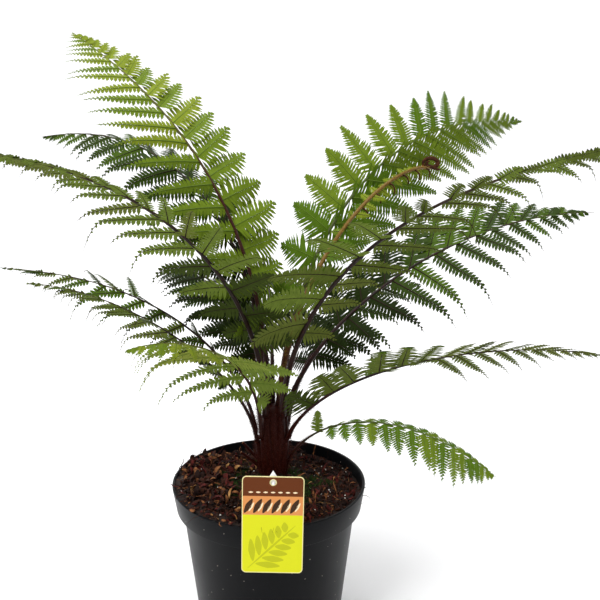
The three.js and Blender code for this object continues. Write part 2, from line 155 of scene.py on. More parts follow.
area_light("key", (-1.2, -1.3, 2.3), (0, 0, 0.35), 1.4, 54)
area_light("rim", (-1.15, 0.9, 0.55), (0, 0, 0.15), 0.8, 7)
area_light("fill", (1.6, -1.2, 1.4), (0, 0, 0.35), 1.6, 8)
area_light("top", (0.1, 0.5, 2.6), (0, 0.1, 0.3), 1.8, 44)
world = bpy.data.worlds.new("studio")
world.use_nodes = True
world.node_tree.nodes["Background"].inputs["Color"].default_value = linear("#fbfbff")
world.node_tree.nodes["Background"].inputs["Strength"].default_value = 0.42
bpy.context.scene.world = world
bpy.context.scene.view_settings.view_transform = "Standard"

# %% [markdown]
# ## Joined meshes from arrays
# A fern has many thousand leaflets. One object for each would choke Blender, so the corner points
# of all of them are worked out as arrays of numbers and become one mesh for each frond.

# %% Joined mesh helpers
def stack(parts):
    """Joins (points, triangles, material numbers) of many small shapes into one of each."""
    starts = np.cumsum([0] + [len(p) for p, _, _ in parts[:-1]])
    points = np.concatenate([p for p, _, _ in parts])
    triangles = np.concatenate([t + s for (_, t, _), s in zip(parts, starts)])
    kinds = np.concatenate([k for _, _, k in parts])
    return points, triangles, kinds


def joined_piece(name, parts, materials, smooth=False, tone=None):
    """One object from stacked triangles. tone is an optional value for each point."""
    points, triangles, kinds = stack(parts)
    mesh = bpy.data.meshes.new(name)
    mesh.vertices.add(len(points))
    mesh.vertices.foreach_set("co", points.astype(np.float32).ravel())
    mesh.loops.add(3 * len(triangles))
    mesh.loops.foreach_set("vertex_index", triangles.astype(np.int32).ravel())
    mesh.polygons.add(len(triangles))
    mesh.polygons.foreach_set("loop_start", np.arange(0, 3 * len(triangles), 3, dtype=np.int32))
    for material in materials:
        mesh.materials.append(material)
    mesh.polygons.foreach_set("material_index", kinds.astype(np.int32))
    mesh.polygons.foreach_set("use_smooth", np.full(len(triangles), smooth))
    mesh.update(calc_edges=True)
    if tone is not None:
        attribute = mesh.attributes.new("tone", "FLOAT", "POINT")
        attribute.data.foreach_set("value", np.concatenate(tone).astype(np.float32))
    piece = bpy.data.objects.new(name, mesh)
    bpy.context.scene.collection.objects.link(piece)
    return piece


def one_kind(points, faces, kind=0):
    """A small shape whose faces all have the same material number."""
    return points, faces, np.full(len(faces), kind)


def tube(points, radii, sides, across, over):
    """A closed tube of triangles round a line. across and over are its cross directions, each
    one for the whole line or one for every point."""
    n = len(points)
    across, over = (np.broadcast_to(way, (n, 3)) for way in (across, over))
    turn = np.linspace(0, 2 * np.pi, sides, endpoint=False)
    ring = np.cos(turn)[None, :, None] * across[:, None] + np.sin(turn)[None, :, None] * over[:, None]
    skin = (points[:, None] + ring * np.asarray(radii)[:, None, None]).reshape(-1, 3)
    a = (np.arange(n - 1)[:, None] * sides + np.arange(sides)).ravel()
    b = (np.arange(n - 1)[:, None] * sides + (np.arange(sides) + 1) % sides).ravel()
    body = np.concatenate([np.stack([a, b, b + sides], 1), np.stack([a, b + sides, a + sides], 1)])
    low, high = n * sides, n * sides + 1
    j = np.arange(sides)
    k = (j + 1) % sides
    last = (n - 1) * sides
    ends = np.concatenate([np.stack([np.full(sides, low), k, j], 1),
                           np.stack([np.full(sides, high), last + j, last + k], 1)])
    return np.vstack([skin, points[0], points[-1]]), np.vstack([body, ends])


def keep(piece, slot, *nodes):
    """The piece rides on the plant and stands for these solids; slot is not used."""
    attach(piece, "root")
    if nodes:
        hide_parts(*nodes)
    print(f"{piece.name}: {len(piece.data.polygons)} faces")


# %% [markdown]
# ## How a frond grows
# Each frond is a line that rises from the trunk and bends over. The same growth values as in the
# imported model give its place, so ribs and leaflets lie where the plain blades lie.

# %% Growth values
# root: [angle round the trunk, distance from its axis, height above the rim], degrees and mm
# heading and its sweep to the tip; lift less droop * s ** bend; nod acts near the tip only
# roll and twist turn the blade about its rib; fold hangs both halves; reach: longest branch, mm
# stipe: bare share of the length; pairs: leaf branches on each side; thick: stalk's stoutness
GROWTH = ("root", "heading", "sweep", "lift", "droop", "bend", "nod", "length", "roll", "twist", "fold",
          "reach", "stipe", "pairs", "thick")
GROWN = {
    "tall_left": ((150, 7, 88), 155, 0, 90, 73, 1.25, -12, 523, 7, -24, 2, 88, 0.2, 23, 1),
    "broad_right": ((62, 15, 88), 55, -15, 84, 112, 0.95, -23, 655, 32, 52, 2, 74, 0.2, 22, 1),
    "young_right": ((20, 7, 90), 27, 29, 85, 94, 1.2, 3, 425, 5, 13, 10, 42, 0.42, 20, 1),
    "back_left": ((130, 15, 86), 132, 24, 90, 123, 1.3, -22, 536, 0, -14, 8, 76, 0.24, 18, 0.9),
    "front_left": ((240, 16, 84), 226, -26, 90, 79, 0.9, 0, 477, -3, 32, 0, 84, 0.2, 20, 1),
    "front_right": ((-45, 16, 84), -40, 22, 90, 85, 0.75, -10, 537, -22, -6, 3, 82, 0.2, 20, 1),
    "right": ((-8, 16, 82), 11, 4, 85, 82, 0.55, 8, 472, 8, 8, 13, 84, 0.18, 19, 0.9),
    "low_right": ((-32, 21, 55), -34, 34, 83, 84, 0.4, 12, 408, -20, -30, 1, 66, 0.11, 20, 0.7),
    "small_right": ((-20, 20, 26), -21, -1, 70, 112, 0.7, -9, 279, 4, 5, 30, 47, 0.16, 19, 0.5),
    "low_left": ((178, 21, 55), 176, -4, 90, 100, 0.7, -12, 398, -7, 2, 14, 56, 0.24, 17, 0.6),
    "lower_left": ((203, 21, 50), 206, -30, 88, 72, 0.55, 16, 350, 12, 12, 26, 57, 0.24, 16, 0.6),
    "near_left": ((230, 21, 58), 252, -56, 88, 87, 0.9, 19, 261, 5, -10, 20, 72, 0.2, 14, 0.7),
    "inner_left": ((126, 15, 80), 134, 4, 88, 122, 1.2, 0, 290, 12, -17, 10, 68, 0.24, 14, 0.8),
    "back_middle": ((93, 16, 78), 92, 4, 84, 128, 0.7, 0, 400, 0, 0, 14, 70, 0.2, 16, 0.8),
    "back_low_left": ((112, 20, 52), 112, 6, 78, 96, 0.6, 0, 400, 4, 6, 16, 62, 0.2, 16, 0.7),
    "back_low_right": ((36, 20, 60), 60, -8, 80, 102, 0.6, 0, 390, -4, 4, 16, 62, 0.2, 16, 0.7),
}
FRONDS = {name: dict(zip(GROWTH, row)) for name, row in GROWN.items()}
TRUNK_X = (TRUNK_LOW.x + TRUNK_HIGH.x) / 2
TRUNK_Y = (TRUNK_LOW.y + TRUNK_HIGH.y) / 2
RIB_STEPS = 80
print("fronds:", len(FRONDS), "trunk axis at", round(TRUNK_X / MM, 1), round(TRUNK_Y / MM, 1))

# %% [markdown]
# A frond's line is built from short steps, each with a pitch and a compass heading. At each step
# three directions are kept: along the rib, to its left side, and up out of the blade's face.

# %% A frond's line
def unit(v):
    return v / np.maximum(np.linalg.norm(v, axis=-1, keepdims=True), 1e-12)


def frond_line(f):
    s = np.linspace(0, 1, RIB_STEPS + 1)
    pitch = np.radians(f["lift"] - f["droop"] * s ** f["bend"] - f["nod"] * s ** 5)
    heading = np.radians(f["heading"] + f["sweep"] * s)
    along = np.stack([np.cos(pitch) * np.cos(heading), np.cos(pitch) * np.sin(heading), np.sin(pitch)], 1)
    level = np.stack([-np.sin(heading), np.cos(heading), 0 * s], 1)
    over = np.cross(along, level)
    roll = np.radians(f["roll"] + f["twist"] * s)[:, None]
    side = level * np.cos(roll) + over * np.sin(roll)
    up = over * np.cos(roll) - level * np.sin(roll)
    angle, distance, height = f["root"]
    root = np.array([TRUNK_X + distance * MM * math.cos(math.radians(angle)),
                     TRUNK_Y + distance * MM * math.sin(math.radians(angle)), RIM_Z + height * MM])
    steps = (along[1:] + along[:-1]) / 2 * f["length"] * MM / RIB_STEPS
    point = np.vstack([root, root + np.cumsum(steps, axis=0)])
    return dict(s=s, point=point, along=along, side=side, up=up)


def at(line, s, key):
    """One of a line's directions, or its point, at shares s of its length."""
    return np.stack([np.interp(s, line["s"], line[key][:, i]) for i in range(3)], -1)


def reach_share(t, late=1.6):
    """Length of a leaf branch, as a share of the longest, from the blade's foot to its tip."""
    foot = np.clip(t / 0.3, 0, 1)
    rise = 0.55 + 0.45 * foot * foot * (3 - 2 * foot)
    return rise * (1 - np.clip((t - 0.3) / 0.7, 0, 1) ** late)


lines = {name: frond_line(f) for name, f in FRONDS.items()}
print("highest tip:", round(max(l["point"][-1][2] for l in lines.values()) / MM), "mm")

# %% [markdown]
# ## Leaf colours
# Fern leaf is a thin soft skin with a faint sheen above and a paler, duller skin below. Each frond
# has a few plain tones, dealt out branch by branch as age colours them. The darkest ones, on the
# inner and back fronds and near each blade's foot, stand for older leaf and for painted shade
# under the crown. Every tone is one material, whose fine mottling is a noise a few millimetres wide.

# %% Leaf material
def leaf_skin(name, code, roughness):
    made, shader = new_material(name, Roughness=roughness, IOR=1.4, Specular_IOR_Level=0.1)
    place = add_node(made, "ShaderNodeTexCoord")
    mottle = add_node(made, "ShaderNodeTexNoise",
                      {"Vector": place.outputs["Object"], "Scale": 160, "Detail": 2})
    plain = linear(code)
    pale = tuple(min(1, c * 1.3) for c in plain[:3]) + (1,)
    dark = tuple(c * 0.7 for c in plain[:3]) + (1,)
    colour = add_node(made, "ShaderNodeMix", {"Factor_Float": mottle.outputs["Fac"], "A_Color": dark,
                                              "B_Color": pale}, data_type="RGBA")
    made.node_tree.links.new(colour.outputs[2], shader.inputs["Base Color"])
    return made


LEAF_TONES = {
    "lime": ("#717f1f", "#7b8535"), "fresh": ("#5f731a", "#6f7d2f"), "grass": ("#4a6512", "#62732b"),
    "green": ("#3c520d", "#525e22"), "deep": ("#2a3b0a", "#384418"), "dark": ("#1a2506", "#242c0e"),
    "olive": ("#47541a", "#606a2c"),
}
leaf_materials = {}
for tone, (above, below) in LEAF_TONES.items():
    # upper skin: smooth and slightly waxy, so a soft sheen; lower skin: matt and paler
    leaf_materials[tone] = (leaf_skin(f"fern_leaf_upper_{tone}", above, 0.5),
                            leaf_skin(f"fern_leaf_lower_{tone}", below, 0.65))
# the last tone of each frond is its darkest: painted shade for the branches near the blade's foot, under the
# crown
FROND_TONES = {
    "tall_left": ("lime", "lime", "fresh", "fresh"), "broad_right": ("fresh", "grass", "fresh", "grass"),
    "young_right": ("lime", "fresh", "lime", "grass"), "back_left": ("deep", "green", "deep", "dark"),
    "front_left": ("grass", "olive", "grass", "deep"), "front_right": ("green", "grass", "green", "olive"),
    "right": ("deep", "green", "deep", "dark"), "low_right": ("green", "olive", "green", "deep"),
    "small_right": ("fresh", "grass", "fresh", "grass"), "low_left": ("green", "olive", "deep", "deep"),
    "lower_left": ("olive", "green", "olive", "deep"), "near_left": ("lime", "fresh", "lime", "grass"),
    "inner_left": ("dark", "deep", "dark", "dark"), "back_middle": ("deep", "green", "deep", "dark"),
    "back_low_left": ("deep", "dark", "deep", "dark"), "back_low_right": ("deep", "dark", "deep", "dark"),
}
print("leaf materials:", 2 * len(leaf_materials))

# %% [markdown]
# ## One leaflet
# A leaflet is a closed, thin lens: an upper and a lower skin that share a toothed rim, with the
# upper midrib sunk a little and the lower one standing out. It has 30 faces with teeth, and 18 in
# the plain outline that small branches use, so that a whole plant stays within a million.

# %% Leaflet template
def leaflet_template(rim, ribs):
    """rim: (length share, half-width share) from foot to tip; ribs: length shares of the midrib."""
    r, m = len(rim), len(ribs)
    tip = 2 * r
    points = [(x, y, 0.0) for x, y in rim] + [(x, -y, 0.0) for x, y in rim] + [(1.0, 0.0, 0.0)]
    points += [(x, 0.0, -0.35) for x in ribs] + [(x, 0.0, -1.0) for x in ribs]
    faces, lower = [], []
    for half in (0, 1):
        edge = [half * r + i for i in range(r)] + [tip]
        for skin in (0, 1):
            mid = [tip + 1 + skin * m + i for i in range(m)] + [tip]
            i = j = 0
            while i < len(edge) - 1 or j < len(mid) - 1:
                edge_next = points[edge[min(i + 1, r)]][0] if i < len(edge) - 1 else 9
                mid_next = points[mid[min(j + 1, m)]][0] if j < len(mid) - 1 else 9
                if edge_next <= mid_next:
                    face = [mid[j], edge[i], edge[i + 1]]
                    i += 1
                else:
                    face = [mid[j], edge[i], mid[j + 1]]
                    j += 1
                if len(set(face)) < 3:
                    continue
                faces.append(face if half == skin else face[::-1])
                lower.append(skin)
    # the foot is closed between both midribs and the rim's two feet
    top, bottom = tip + 1, tip + 1 + m
    faces += [[top, r, 0], [bottom, 0, r]]
    lower += [0, 1]
    return np.array(points), np.array(faces), np.array(lower)


TOOTHED = leaflet_template([(0, 1), (0.2, 0.98), (0.38, 0.72), (0.56, 0.85), (0.74, 0.5)], [0, 0.38, 0.74])
PLAIN = leaflet_template([(0, 1), (0.35, 0.95), (0.7, 0.66)], [0, 0.5])
print("faces in a toothed leaflet:", len(TOOTHED[1]), "in a plain one:", len(PLAIN[1]))


# %% Leaflets from arrays
LEAF_THICK = 0.22 * MM


def leaflets(template, foot, ahead, face, length, half, curl):
    """Copies the template to each foot: ahead is its direction, face its upper side."""
    points, faces, lower = template
    across = np.cross(face, ahead)
    x, y, z = points[:, 0], points[:, 1], points[:, 2]
    made = foot[:, None] + ahead[:, None] * (x[None] * length[:, None])[..., None]
    made += across[:, None] * (y[None] * half[:, None])[..., None]
    lift = z[None] * LEAF_THICK - (x ** 2)[None] * (curl * length)[:, None]
    made += face[:, None] * lift[..., None]
    starts = np.arange(len(foot))[:, None, None] * len(points)
    return made.reshape(-1, 3), (faces[None] + starts).reshape(-1, 3), np.tile(lower, len(foot))


# %% [markdown]
# ## One leaf branch
# A branch (pinna) leaves the rib at 80 degrees near the blade's foot and at 55 near its tip. It
# bows a little, sags under its own weight and ends in a fine tail that curls down.

# %% A leaf branch
PINNA_STEPS = 14


def branch_line(foot, along, out, up, reach, lean, rng, style):
    u = np.linspace(0, 1, PINNA_STEPS + 1)
    ahead = unit(math.cos(lean) * along + math.sin(lean) * out)
    onward = unit(np.cross(up, ahead))
    if onward @ along < 0:
        onward = -onward
    bow = (style["bow"] + rng.normal(0, 0.04)) * u ** 2
    line = foot + reach * (u[:, None] * ahead + bow[:, None] * onward)
    sag = style["sag"] * (1 + rng.normal(0, 0.25)) * u ** 1.7
    tail = style["tail"] * (1 + rng.normal(0, 0.4)) * np.clip((u - 0.72) / 0.28, 0, 1) ** 2
    line[:, 2] -= reach * (sag + tail)
    if style["rolled"]:
        # a young branch is a stalk rolled inwards at its end, like a small crozier
        roll = np.cumsum(np.linspace(0, 0.85, PINNA_STEPS + 1))
        way = np.cos(roll)[:, None] * ahead - np.sin(roll)[:, None] * up
        line = foot + np.cumsum(way, axis=0) * reach / PINNA_STEPS
    step = unit(np.gradient(line, axis=0))
    tilt = math.radians(style["tilt"] + rng.normal(0, 5))
    face = unit(up - step * (step @ up)[:, None])
    lift = np.cross(step, face)
    lift *= np.sign(lift @ onward)[:, None]
    face = unit(face * math.cos(tilt) - lift * math.sin(tilt))
    return dict(u=u, point=line, step=step, face=face)


def branch_leaflets(branch, reach, spacing, rng, style):
    """Feet, directions and sizes of the leaflets along both sides of one branch."""
    gap = style["gap"] * MM * float(np.interp(reach / MM, [15, 40, 90], [0.5, 0.75, 1]))
    count = max(6, int(round(0.94 * reach / gap)))
    rows = []
    for hand in (1, -1):
        u = (np.arange(count) + (0.35 if hand > 0 else 0.7)) / (count + 0.3) * 0.97
        size = np.interp(u ** (1 / style["slim"]), [0, 0.1, 0.45, 0.75, 0.9, 1],
                         [0.86, 1, 0.88, 0.52, 0.22, 0.08])
        length = spacing * style["width"] * size * (1 + rng.normal(0, 0.05, count))
        angle = np.radians(style["angle"] - 18 * u + rng.normal(0, 2.5, count))[:, None]
        foot = at(branch | dict(s=branch["u"]), u, "point")
        step = unit(at(branch | dict(s=branch["u"]), u, "step"))
        face = unit(at(branch | dict(s=branch["u"]), u, "face"))
        ahead = unit(np.cos(angle) * step + np.sin(angle) * hand * np.cross(face, step))
        ahead = unit(ahead - face * style["cup"])
        face = unit(face - ahead * np.sum(face * ahead, axis=1)[:, None])
        half = np.minimum(gap * 0.53, length * 0.5)
        curl = style["curl"] + rng.normal(0, 0.04, count)
        rows.append((foot, ahead, face, length, half, curl))
    return [np.concatenate(column) for column in zip(*rows)]


# %% [markdown]
# ## One frond
# The branches stand closer together towards the tip, and each is as wide as the room it has. The
# stalk and the branches' midribs become one piece, and the leaflets another.

# %% Blade styles
# bow, sag, tail: how a branch bends forward, hangs, and curls down at its end, in branch lengths
# tilt: how the branches are turned about themselves, as slats are; gap: room of one leaflet, mm
# width: leaflet length in branch spacings; slim: above 1 a branch narrows early to a fine tail
# lower, lean: degrees that change a side's hang and slant; stretch: factor on branch length
# jitter: random degrees in both; furled: share of the blade beyond which branches are rolled up
# close: how much closer branches stand near the tip; late: how late the blade narrows
# a row of numbers instead of one is spread evenly from the blade's foot to its tip
STYLE = dict(bow=0.03, sag=0.12, tail=0.08, tilt=8, gap=4.8, width=0.58, angle=76, cup=0.06, curl=0.1,
             lower=0, lean=0, stretch=1, slim=1, jitter=3, close=1.9, late=1.6, furled=2)
FROND_STYLES = {
    "tall_left": dict(
        gap=5.2, close=2.1,
        left=dict(stretch=1.25, slim=1.5, width=0.46, late=3, tail=0.03),
        right=dict(lean=(16, 10), lower=-22, tilt=-10, width=0.92, late=2, sag=0.08, tail=-0.07,
            stretch=(0.72, 0.78, 0.78, 0.68, 0.75), slim=0.95)),
    "broad_right": dict(
        gap=3.8, late=2.6, slim=1.3, tail=0.02,
        left=dict(lean=6, stretch=(0.95, 0.97, 0.98, 0.9, 0.72), width=(0.74, 0.72, 0.66, 0.52, 0.44)),
        right=dict(lean=(-25, -35), stretch=(1.15, 1.35, 1.5, 1.35, 1.0), tilt=28,
            width=(0.78, 0.76, 0.68, 0.52, 0.44))),
    "young_right": dict(
        curl=0.2, tail=0.3, gap=4.6, width=(0.36, 0.36, 0.5, 0.8), slim=1.4, furled=0.9, jitter=9,
        stretch=(1.2, 0.5, 0.5, 0.75, 1.3),
        right=dict(lower=(0, 10, 35, 45))),
    "back_left": dict(
        gap=4.6,
        left=dict(tail=0.16, slim=1.3, stretch=1.15),
        right=dict(lower=(-10, 0), lean=(-20, -30), width=0.66, slim=1.2)),
    "front_left": dict(
        gap=5.2, late=1.4,
        left=dict(lean=(16, 0, -30, -45, -45), lower=(-38, 4), tilt=-8, width=(0.76, 0.6, 0.42, 0.5, 0.9),
            stretch=(1, 1, 0.8, 0.8, 1.7)),
        right=dict(lower=(30, 10), lean=(0, 0, -10, -35, -30), tail=0.2, slim=1.5,
            width=(0.52, 0.56, 0.46, 0.5, 0.9), stretch=(0.75, 0.85, 1.2, 1, 1.9))),
    "front_right": dict(
        left=dict(tail=0.24, slim=1.7, stretch=(0.9, 1.1, 1.2, 1, 2.1), width=(0.4, 0.4, 0.38, 0.42, 0.7),
            lean=(0, 0, 0, -10, -4)),
        right=dict(lean=(24, 16, -15, -42, -45), tilt=(0, -10, -35, -35, -35),
            sag=(0.2, 0.14, 0.04, 0.04), lower=(-22, -16, 0, 0, 0), width=(0.88, 0.8, 0.5, 0.45, 0.7),
            stretch=(1.5, 1.15, 0.7, 0.75, 1.7))),
    "right": dict(
        late=1.5,
        left=dict(lower=(-30, -20), lean=(-10, -20), sag=0.02, tail=0, width=0.9,
            stretch=(1, 1, 1.1, 1, 0.8)),
        right=dict(slim=1.3, tail=0.12, width=0.46, stretch=(1, 1.1, 1.15, 1.1, 0.9))),
    "low_right": dict(
        left=dict(slim=1.7, width=(0.5, 0.4, 0.32), lower=(-75, -75, 0, 0, 0), lean=(0, 0, 0, -20, -30),
            stretch=(0.3, 0.4, 1.15, 1.15, 1.1)),
        right=dict(lower=(-24, -16, -6, 0, 0), lean=(4, -5, -22, -35, -40),
            sag=(0.14, 0.1, 0.03, 0.03, 0.03), width=(1, 0.9, 0.5, 0.36),
            stretch=(1.15, 1.1, 0.95, 1, 1.1), slim=1.2)),
    "near_left": dict(
        left=dict(lower=(-58, -10), lean=(22, 0), sag=(0.34, 0.3), slim=1.3,
            stretch=(0.3, 1.15, 0.95, 0.85, 0.8, 0.9, 1), width=(0.72, 0.6)),
        right=dict(lower=(5, 0), lean=(-12, -5), sag=0.45, tail=0.2, slim=1.5, stretch=1.4, width=0.5)),
    "small_right": dict(
        sag=0.1, late=3.4, slim=1.2, width=(0.5, 0.7, 0.82, 0.9, 0.7), gap=3.6, close=1.6, tilt=0,
        stretch=(0.45, 0.65, 0.85, 1.05, 1.0),
        left=dict(lower=-30, stretch=(0.25, 0.28, 0.3, 0.3, 0.35)),
        right=dict(lower=(-190, 0, 0, 0, 0, 0, 0, 0, 0, 0), lean=(-48, 0, 0, 0, 0, 0, 0, 0, 0, 0),
            stretch=(2, 0.5, 0.55, 0.65, 0.75, 0.85, 0.95, 1.05, 1.05, 1))),
    "low_left": dict(
        width=0.34, slim=1.7, tail=0.2, lean=(-25, -35), jitter=12, stretch=(0.9, 1.15, 1.15, 0.9),
        left=dict(tail=0.3)),
    "lower_left": dict(
        width=0.34, slim=1.7, tail=0.3, lean=(-20, -30), jitter=12, stretch=(0.9, 1.15, 1.1)),
    "inner_left": dict(slim=1.3, tail=0.14, stretch=(1.2, 1.1, 1)),
    "back_middle": dict(slim=1.3, stretch=(1.6, 1.2, 1, 1), width=0.66),
    "back_low_left": dict(slim=1.3, tail=0.14),
    "back_low_right": dict(slim=1.3, tail=0.14, stretch=(1.5, 1.1, 1)),
}


def sided(style, hand):
    """The style with what differs on the left (hand 1) or right (hand -1) of the rib."""
    return style | style.get("left" if hand > 0 else "right", {})


def placed(style, t):
    """The style's values at one place, t of the way from the blade's foot to its tip."""
    return {key: float(np.interp(t, np.linspace(0, 1, len(v)), v)) if isinstance(v, tuple) else v
            for key, v in style.items()}


def frond_branches(name):
    """Every branch of a frond: its line, its length and the room it has."""
    f, line = FRONDS[name], lines[name]
    style = STYLE | FROND_STYLES.get(name, {})
    rng = np.random.default_rng(100 + list(FRONDS).index(name))
    pairs = f["pairs"]
    blade = (1 - f["stipe"]) * f["length"] * MM
    power = style["close"]
    found = []
    for hand in (1, -1):
        for i in range(pairs):
            k = i + (0.15 if hand > 0 else 0.5) + rng.normal(0, 0.05)
            t = 1 - (1 - min(k / (pairs + 0.6), 0.985)) ** power
            s = np.array([f["stipe"] + (1 - f["stipe"]) * t])
            spacing = blade * power / (pairs + 0.6) * (1 - k / (pairs + 0.6)) ** (power - 1)
            look = placed(sided(style, hand), t)
            reach = f["reach"] * MM * look["stretch"] * float(reach_share(t, look["late"]))
            reach *= 1 + rng.normal(0, 0.03)
            if reach < 3 * MM:
                continue
            foot, along, side, up = (at(line, s, key)[0] for key in ("point", "along", "side", "up"))
            fold = math.radians(f["fold"] + look["lower"] + rng.normal(0, look["jitter"]))
            out = hand * side * math.cos(fold) - up * math.sin(fold)
            normal = unit(np.cross(along, out) * hand)
            lean = math.radians(80 - 25 * t + look["lean"] + rng.normal(0, look["jitter"]))
            shape = look | dict(rolled=t > look["furled"])
            branch = branch_line(foot, along, out, normal, reach, lean, rng, shape)
            found.append((branch, reach, spacing * (0.3 if shape["rolled"] else 1), t, rng, shape))
    return found


# %% Leaflets of a frond
def frond_leaflets(name, branches):
    tones = FROND_TONES[name]
    uppers = [leaf_materials[t][0] for t in tones]
    lowers = [leaf_materials[t][1] for t in tones]
    pick = np.random.default_rng(500 + list(FRONDS).index(name))
    parts = []
    for branch, reach, spacing, t, rng, style in branches:
        rows = branch_leaflets(branch, reach, spacing, rng, style)
        template = TOOTHED if reach > 30 * MM else PLAIN
        points, faces, lower = leaflets(template, *rows)
        # branches near the blade's foot mostly take the last, darkest tone: painted shade under the crown
        tone = 3 if pick.random() < 1.3 - t / 0.3 else int(pick.integers(0, 3))
        parts.append((points, faces, tone + 4 * lower))
    piece = joined_piece(f"leaflets_{name}", parts, uppers + lowers)
    slot = "young_leaf" if name == "young_right" else "leaf"
    keep(piece, slot, f"blade_{name}_inner", f"blade_{name}_outer")


# %% [markdown]
# ## Stalks and ribs
# The stipe is a fluted stalk with a dark, slightly glossy skin. Along the blade it thins out to
# the rib. Its colour runs from red-black at the foot to brown or green at the tip, which is a
# value on the mesh that the material reads.

# %% Stalk material
def stalk_skin(name, foot, middle, tip, fleck="#5a1a0c", gloss=0.3):
    made, shader = new_material(name, Roughness=0.45, IOR=1.45, Specular_IOR_Level=gloss)
    grown = add_node(made, "ShaderNodeAttribute", attribute_name="tone")
    place = add_node(made, "ShaderNodeTexCoord")
    streak = add_node(made, "ShaderNodeTexNoise",
                      {"Vector": place.outputs["Object"], "Scale": 420, "Detail": 3})
    first = add_node(made, "ShaderNodeMapRange",
                     {"Value": grown.outputs["Fac"], "From Min": 0.1, "From Max": 0.45})
    second = add_node(made, "ShaderNodeMapRange",
                      {"Value": grown.outputs["Fac"], "From Min": 0.5, "From Max": 1.0})
    low = add_node(made, "ShaderNodeMix", {"Factor_Float": first.outputs[0], "A_Color": linear(foot),
                                           "B_Color": linear(middle)}, data_type="RGBA")
    high = add_node(made, "ShaderNodeMix", {"Factor_Float": second.outputs[0], "A_Color": low.outputs[2],
                                            "B_Color": linear(tip)}, data_type="RGBA")
    freckle = add_node(made, "ShaderNodeMix",
                       {"Factor_Float": streak.outputs["Fac"], "A_Color": high.outputs[2],
                        "B_Color": linear(fleck)}, data_type="RGBA")
    strength = add_node(made, "ShaderNodeMapRange", {"Value": streak.outputs["Fac"], "From Min": 0.5,
                                                     "From Max": 0.8, "To Max": 0.35})
    made.node_tree.links.new(strength.outputs[0], freckle.inputs[0])
    made.node_tree.links.new(freckle.outputs[2], shader.inputs["Base Color"])
    bump = add_node(made, "ShaderNodeBump",
                    {"Height": streak.outputs["Fac"], "Strength": 0.4, "Distance": 0.0004})
    made.node_tree.links.new(bump.outputs[0], shader.inputs["Normal"])
    return made


stalk_dark = stalk_skin("tree_fern_stipe_dark", "#1f0704", "#150704", "#3a2c10")
stalk_green = stalk_skin("tree_fern_stipe_greening", "#220804", "#35150a", "#66702a")
stalk_light = stalk_skin("tree_fern_stipe_light", "#220804", "#42501a", "#5e7426", "#4a4a12")
stalk_gold = stalk_skin("tree_fern_stipe_young", "#3a1408", "#6e5018", "#665018", "#a08e34")
costa_dark, _ = new_material("branch_midrib_dark", Base_Color=linear("#200f07"), Roughness=0.6,
                             Specular_IOR_Level=0.15)
costa_green, _ = new_material("branch_midrib_green", Base_Color=linear("#556a1e"), Roughness=0.6,
                              Specular_IOR_Level=0.15)
# radius where the blade starts, half way, at four fifths and at the tip, in foot radii
SLENDER = {"young_right": (0.62, 0.56, 0.5, 0.45), "front_left": (0.7, 0.5, 0.34, 0.1),
           "front_right": (0.7, 0.46, 0.3, 0.1)}
RIB_LOOKS = {
    "tall_left": (stalk_green, costa_green), "broad_right": (stalk_light, costa_green),
    "young_right": (stalk_gold, costa_dark), "near_left": (stalk_green, costa_green),
    "small_right": (stalk_light, costa_green),
}


# %% Stalk and midribs of a frond
def frond_ribs(name, branches):
    f, line = FRONDS[name], lines[name]
    foot = 4 * f["thick"]
    share = line["s"]
    slender = SLENDER.get(name, (0.66, 0.4, 0.22, 0.07))
    radius = np.interp(share, [0, f["stipe"], 0.5, 0.8, 1], [foot] + [foot * k for k in slender]) * MM
    parts = [one_kind(*tube(line["point"], radius, 12, line["side"], line["up"]))]
    tone = [np.append(np.repeat(share, 12), [0, 1])]
    for branch, reach, *_ in branches:
        thin = np.interp(branch["u"], [0, 0.6, 0.95, 1], [0.85, 0.5, 0.34, 0.1]) * MM
        thin = thin * (0.4 + 0.6 * reach / (88 * MM))
        across = unit(np.cross(branch["face"], branch["step"]))
        middle = branch["point"] - branch["face"] * 0.12 * MM
        parts.append(one_kind(*tube(middle, thin, 4, across, branch["face"]), 1))
        tone.append(np.append(np.repeat(0.3 + 0.7 * branch["u"], 4), [0.3, 1]))
    materials = list(RIB_LOOKS.get(name, (stalk_dark, costa_dark)))
    piece = joined_piece(f"rib_{name}", parts, materials, smooth=True, tone=tone)
    keep(piece, "stalk", f"stipe_{name}")


for name in FRONDS:
    branches = frond_branches(name)
    frond_ribs(name, branches)
    frond_leaflets(name, branches)

# %% [markdown]
# ## The pot
# The real pot is injection moulded in black polypropylene: a slightly tapered body and, above a
# step, a collar that widens to a thin rim. It is a turned shape, so its wall line is spun round
# the axis. Each corner of the line is rounded first, as a mould can't make a sharp one.

# %% Pot wall line
def rounded(corners, radii, steps=4):
    """Rounds the corners of an open line of (r, z) points in mm."""
    made = [corners[0]]
    for i in range(1, len(corners) - 1):
        a, b, c = (np.array(corners[j], float) for j in (i - 1, i, i + 1))
        cut = min(radii[i], np.linalg.norm(a - b) * 0.45, np.linalg.norm(c - b) * 0.45)
        start, end = b + unit(a - b) * cut, b + unit(c - b) * cut
        for k in np.linspace(0, 1, steps):
            made.append(tuple((1 - k) ** 2 * start + 2 * k * (1 - k) * b + k * k * end))
    return made + [corners[-1]]


POT_LINE = [(0, 0), (85, 0), (103, 161), (110.5, 161), (115, 190), (111.8, 190), (108.5, 163),
            (101, 163), (83, 2.5), (0, 2.5)]
pot_line = rounded(POT_LINE, [0, 1.5, 1.2, 0.6, 0.8, 0.8, 2, 2, 2, 0])
pot_line[1:1] = [(62, 0), (74, 0)]
print("points in the wall line:", len(pot_line))


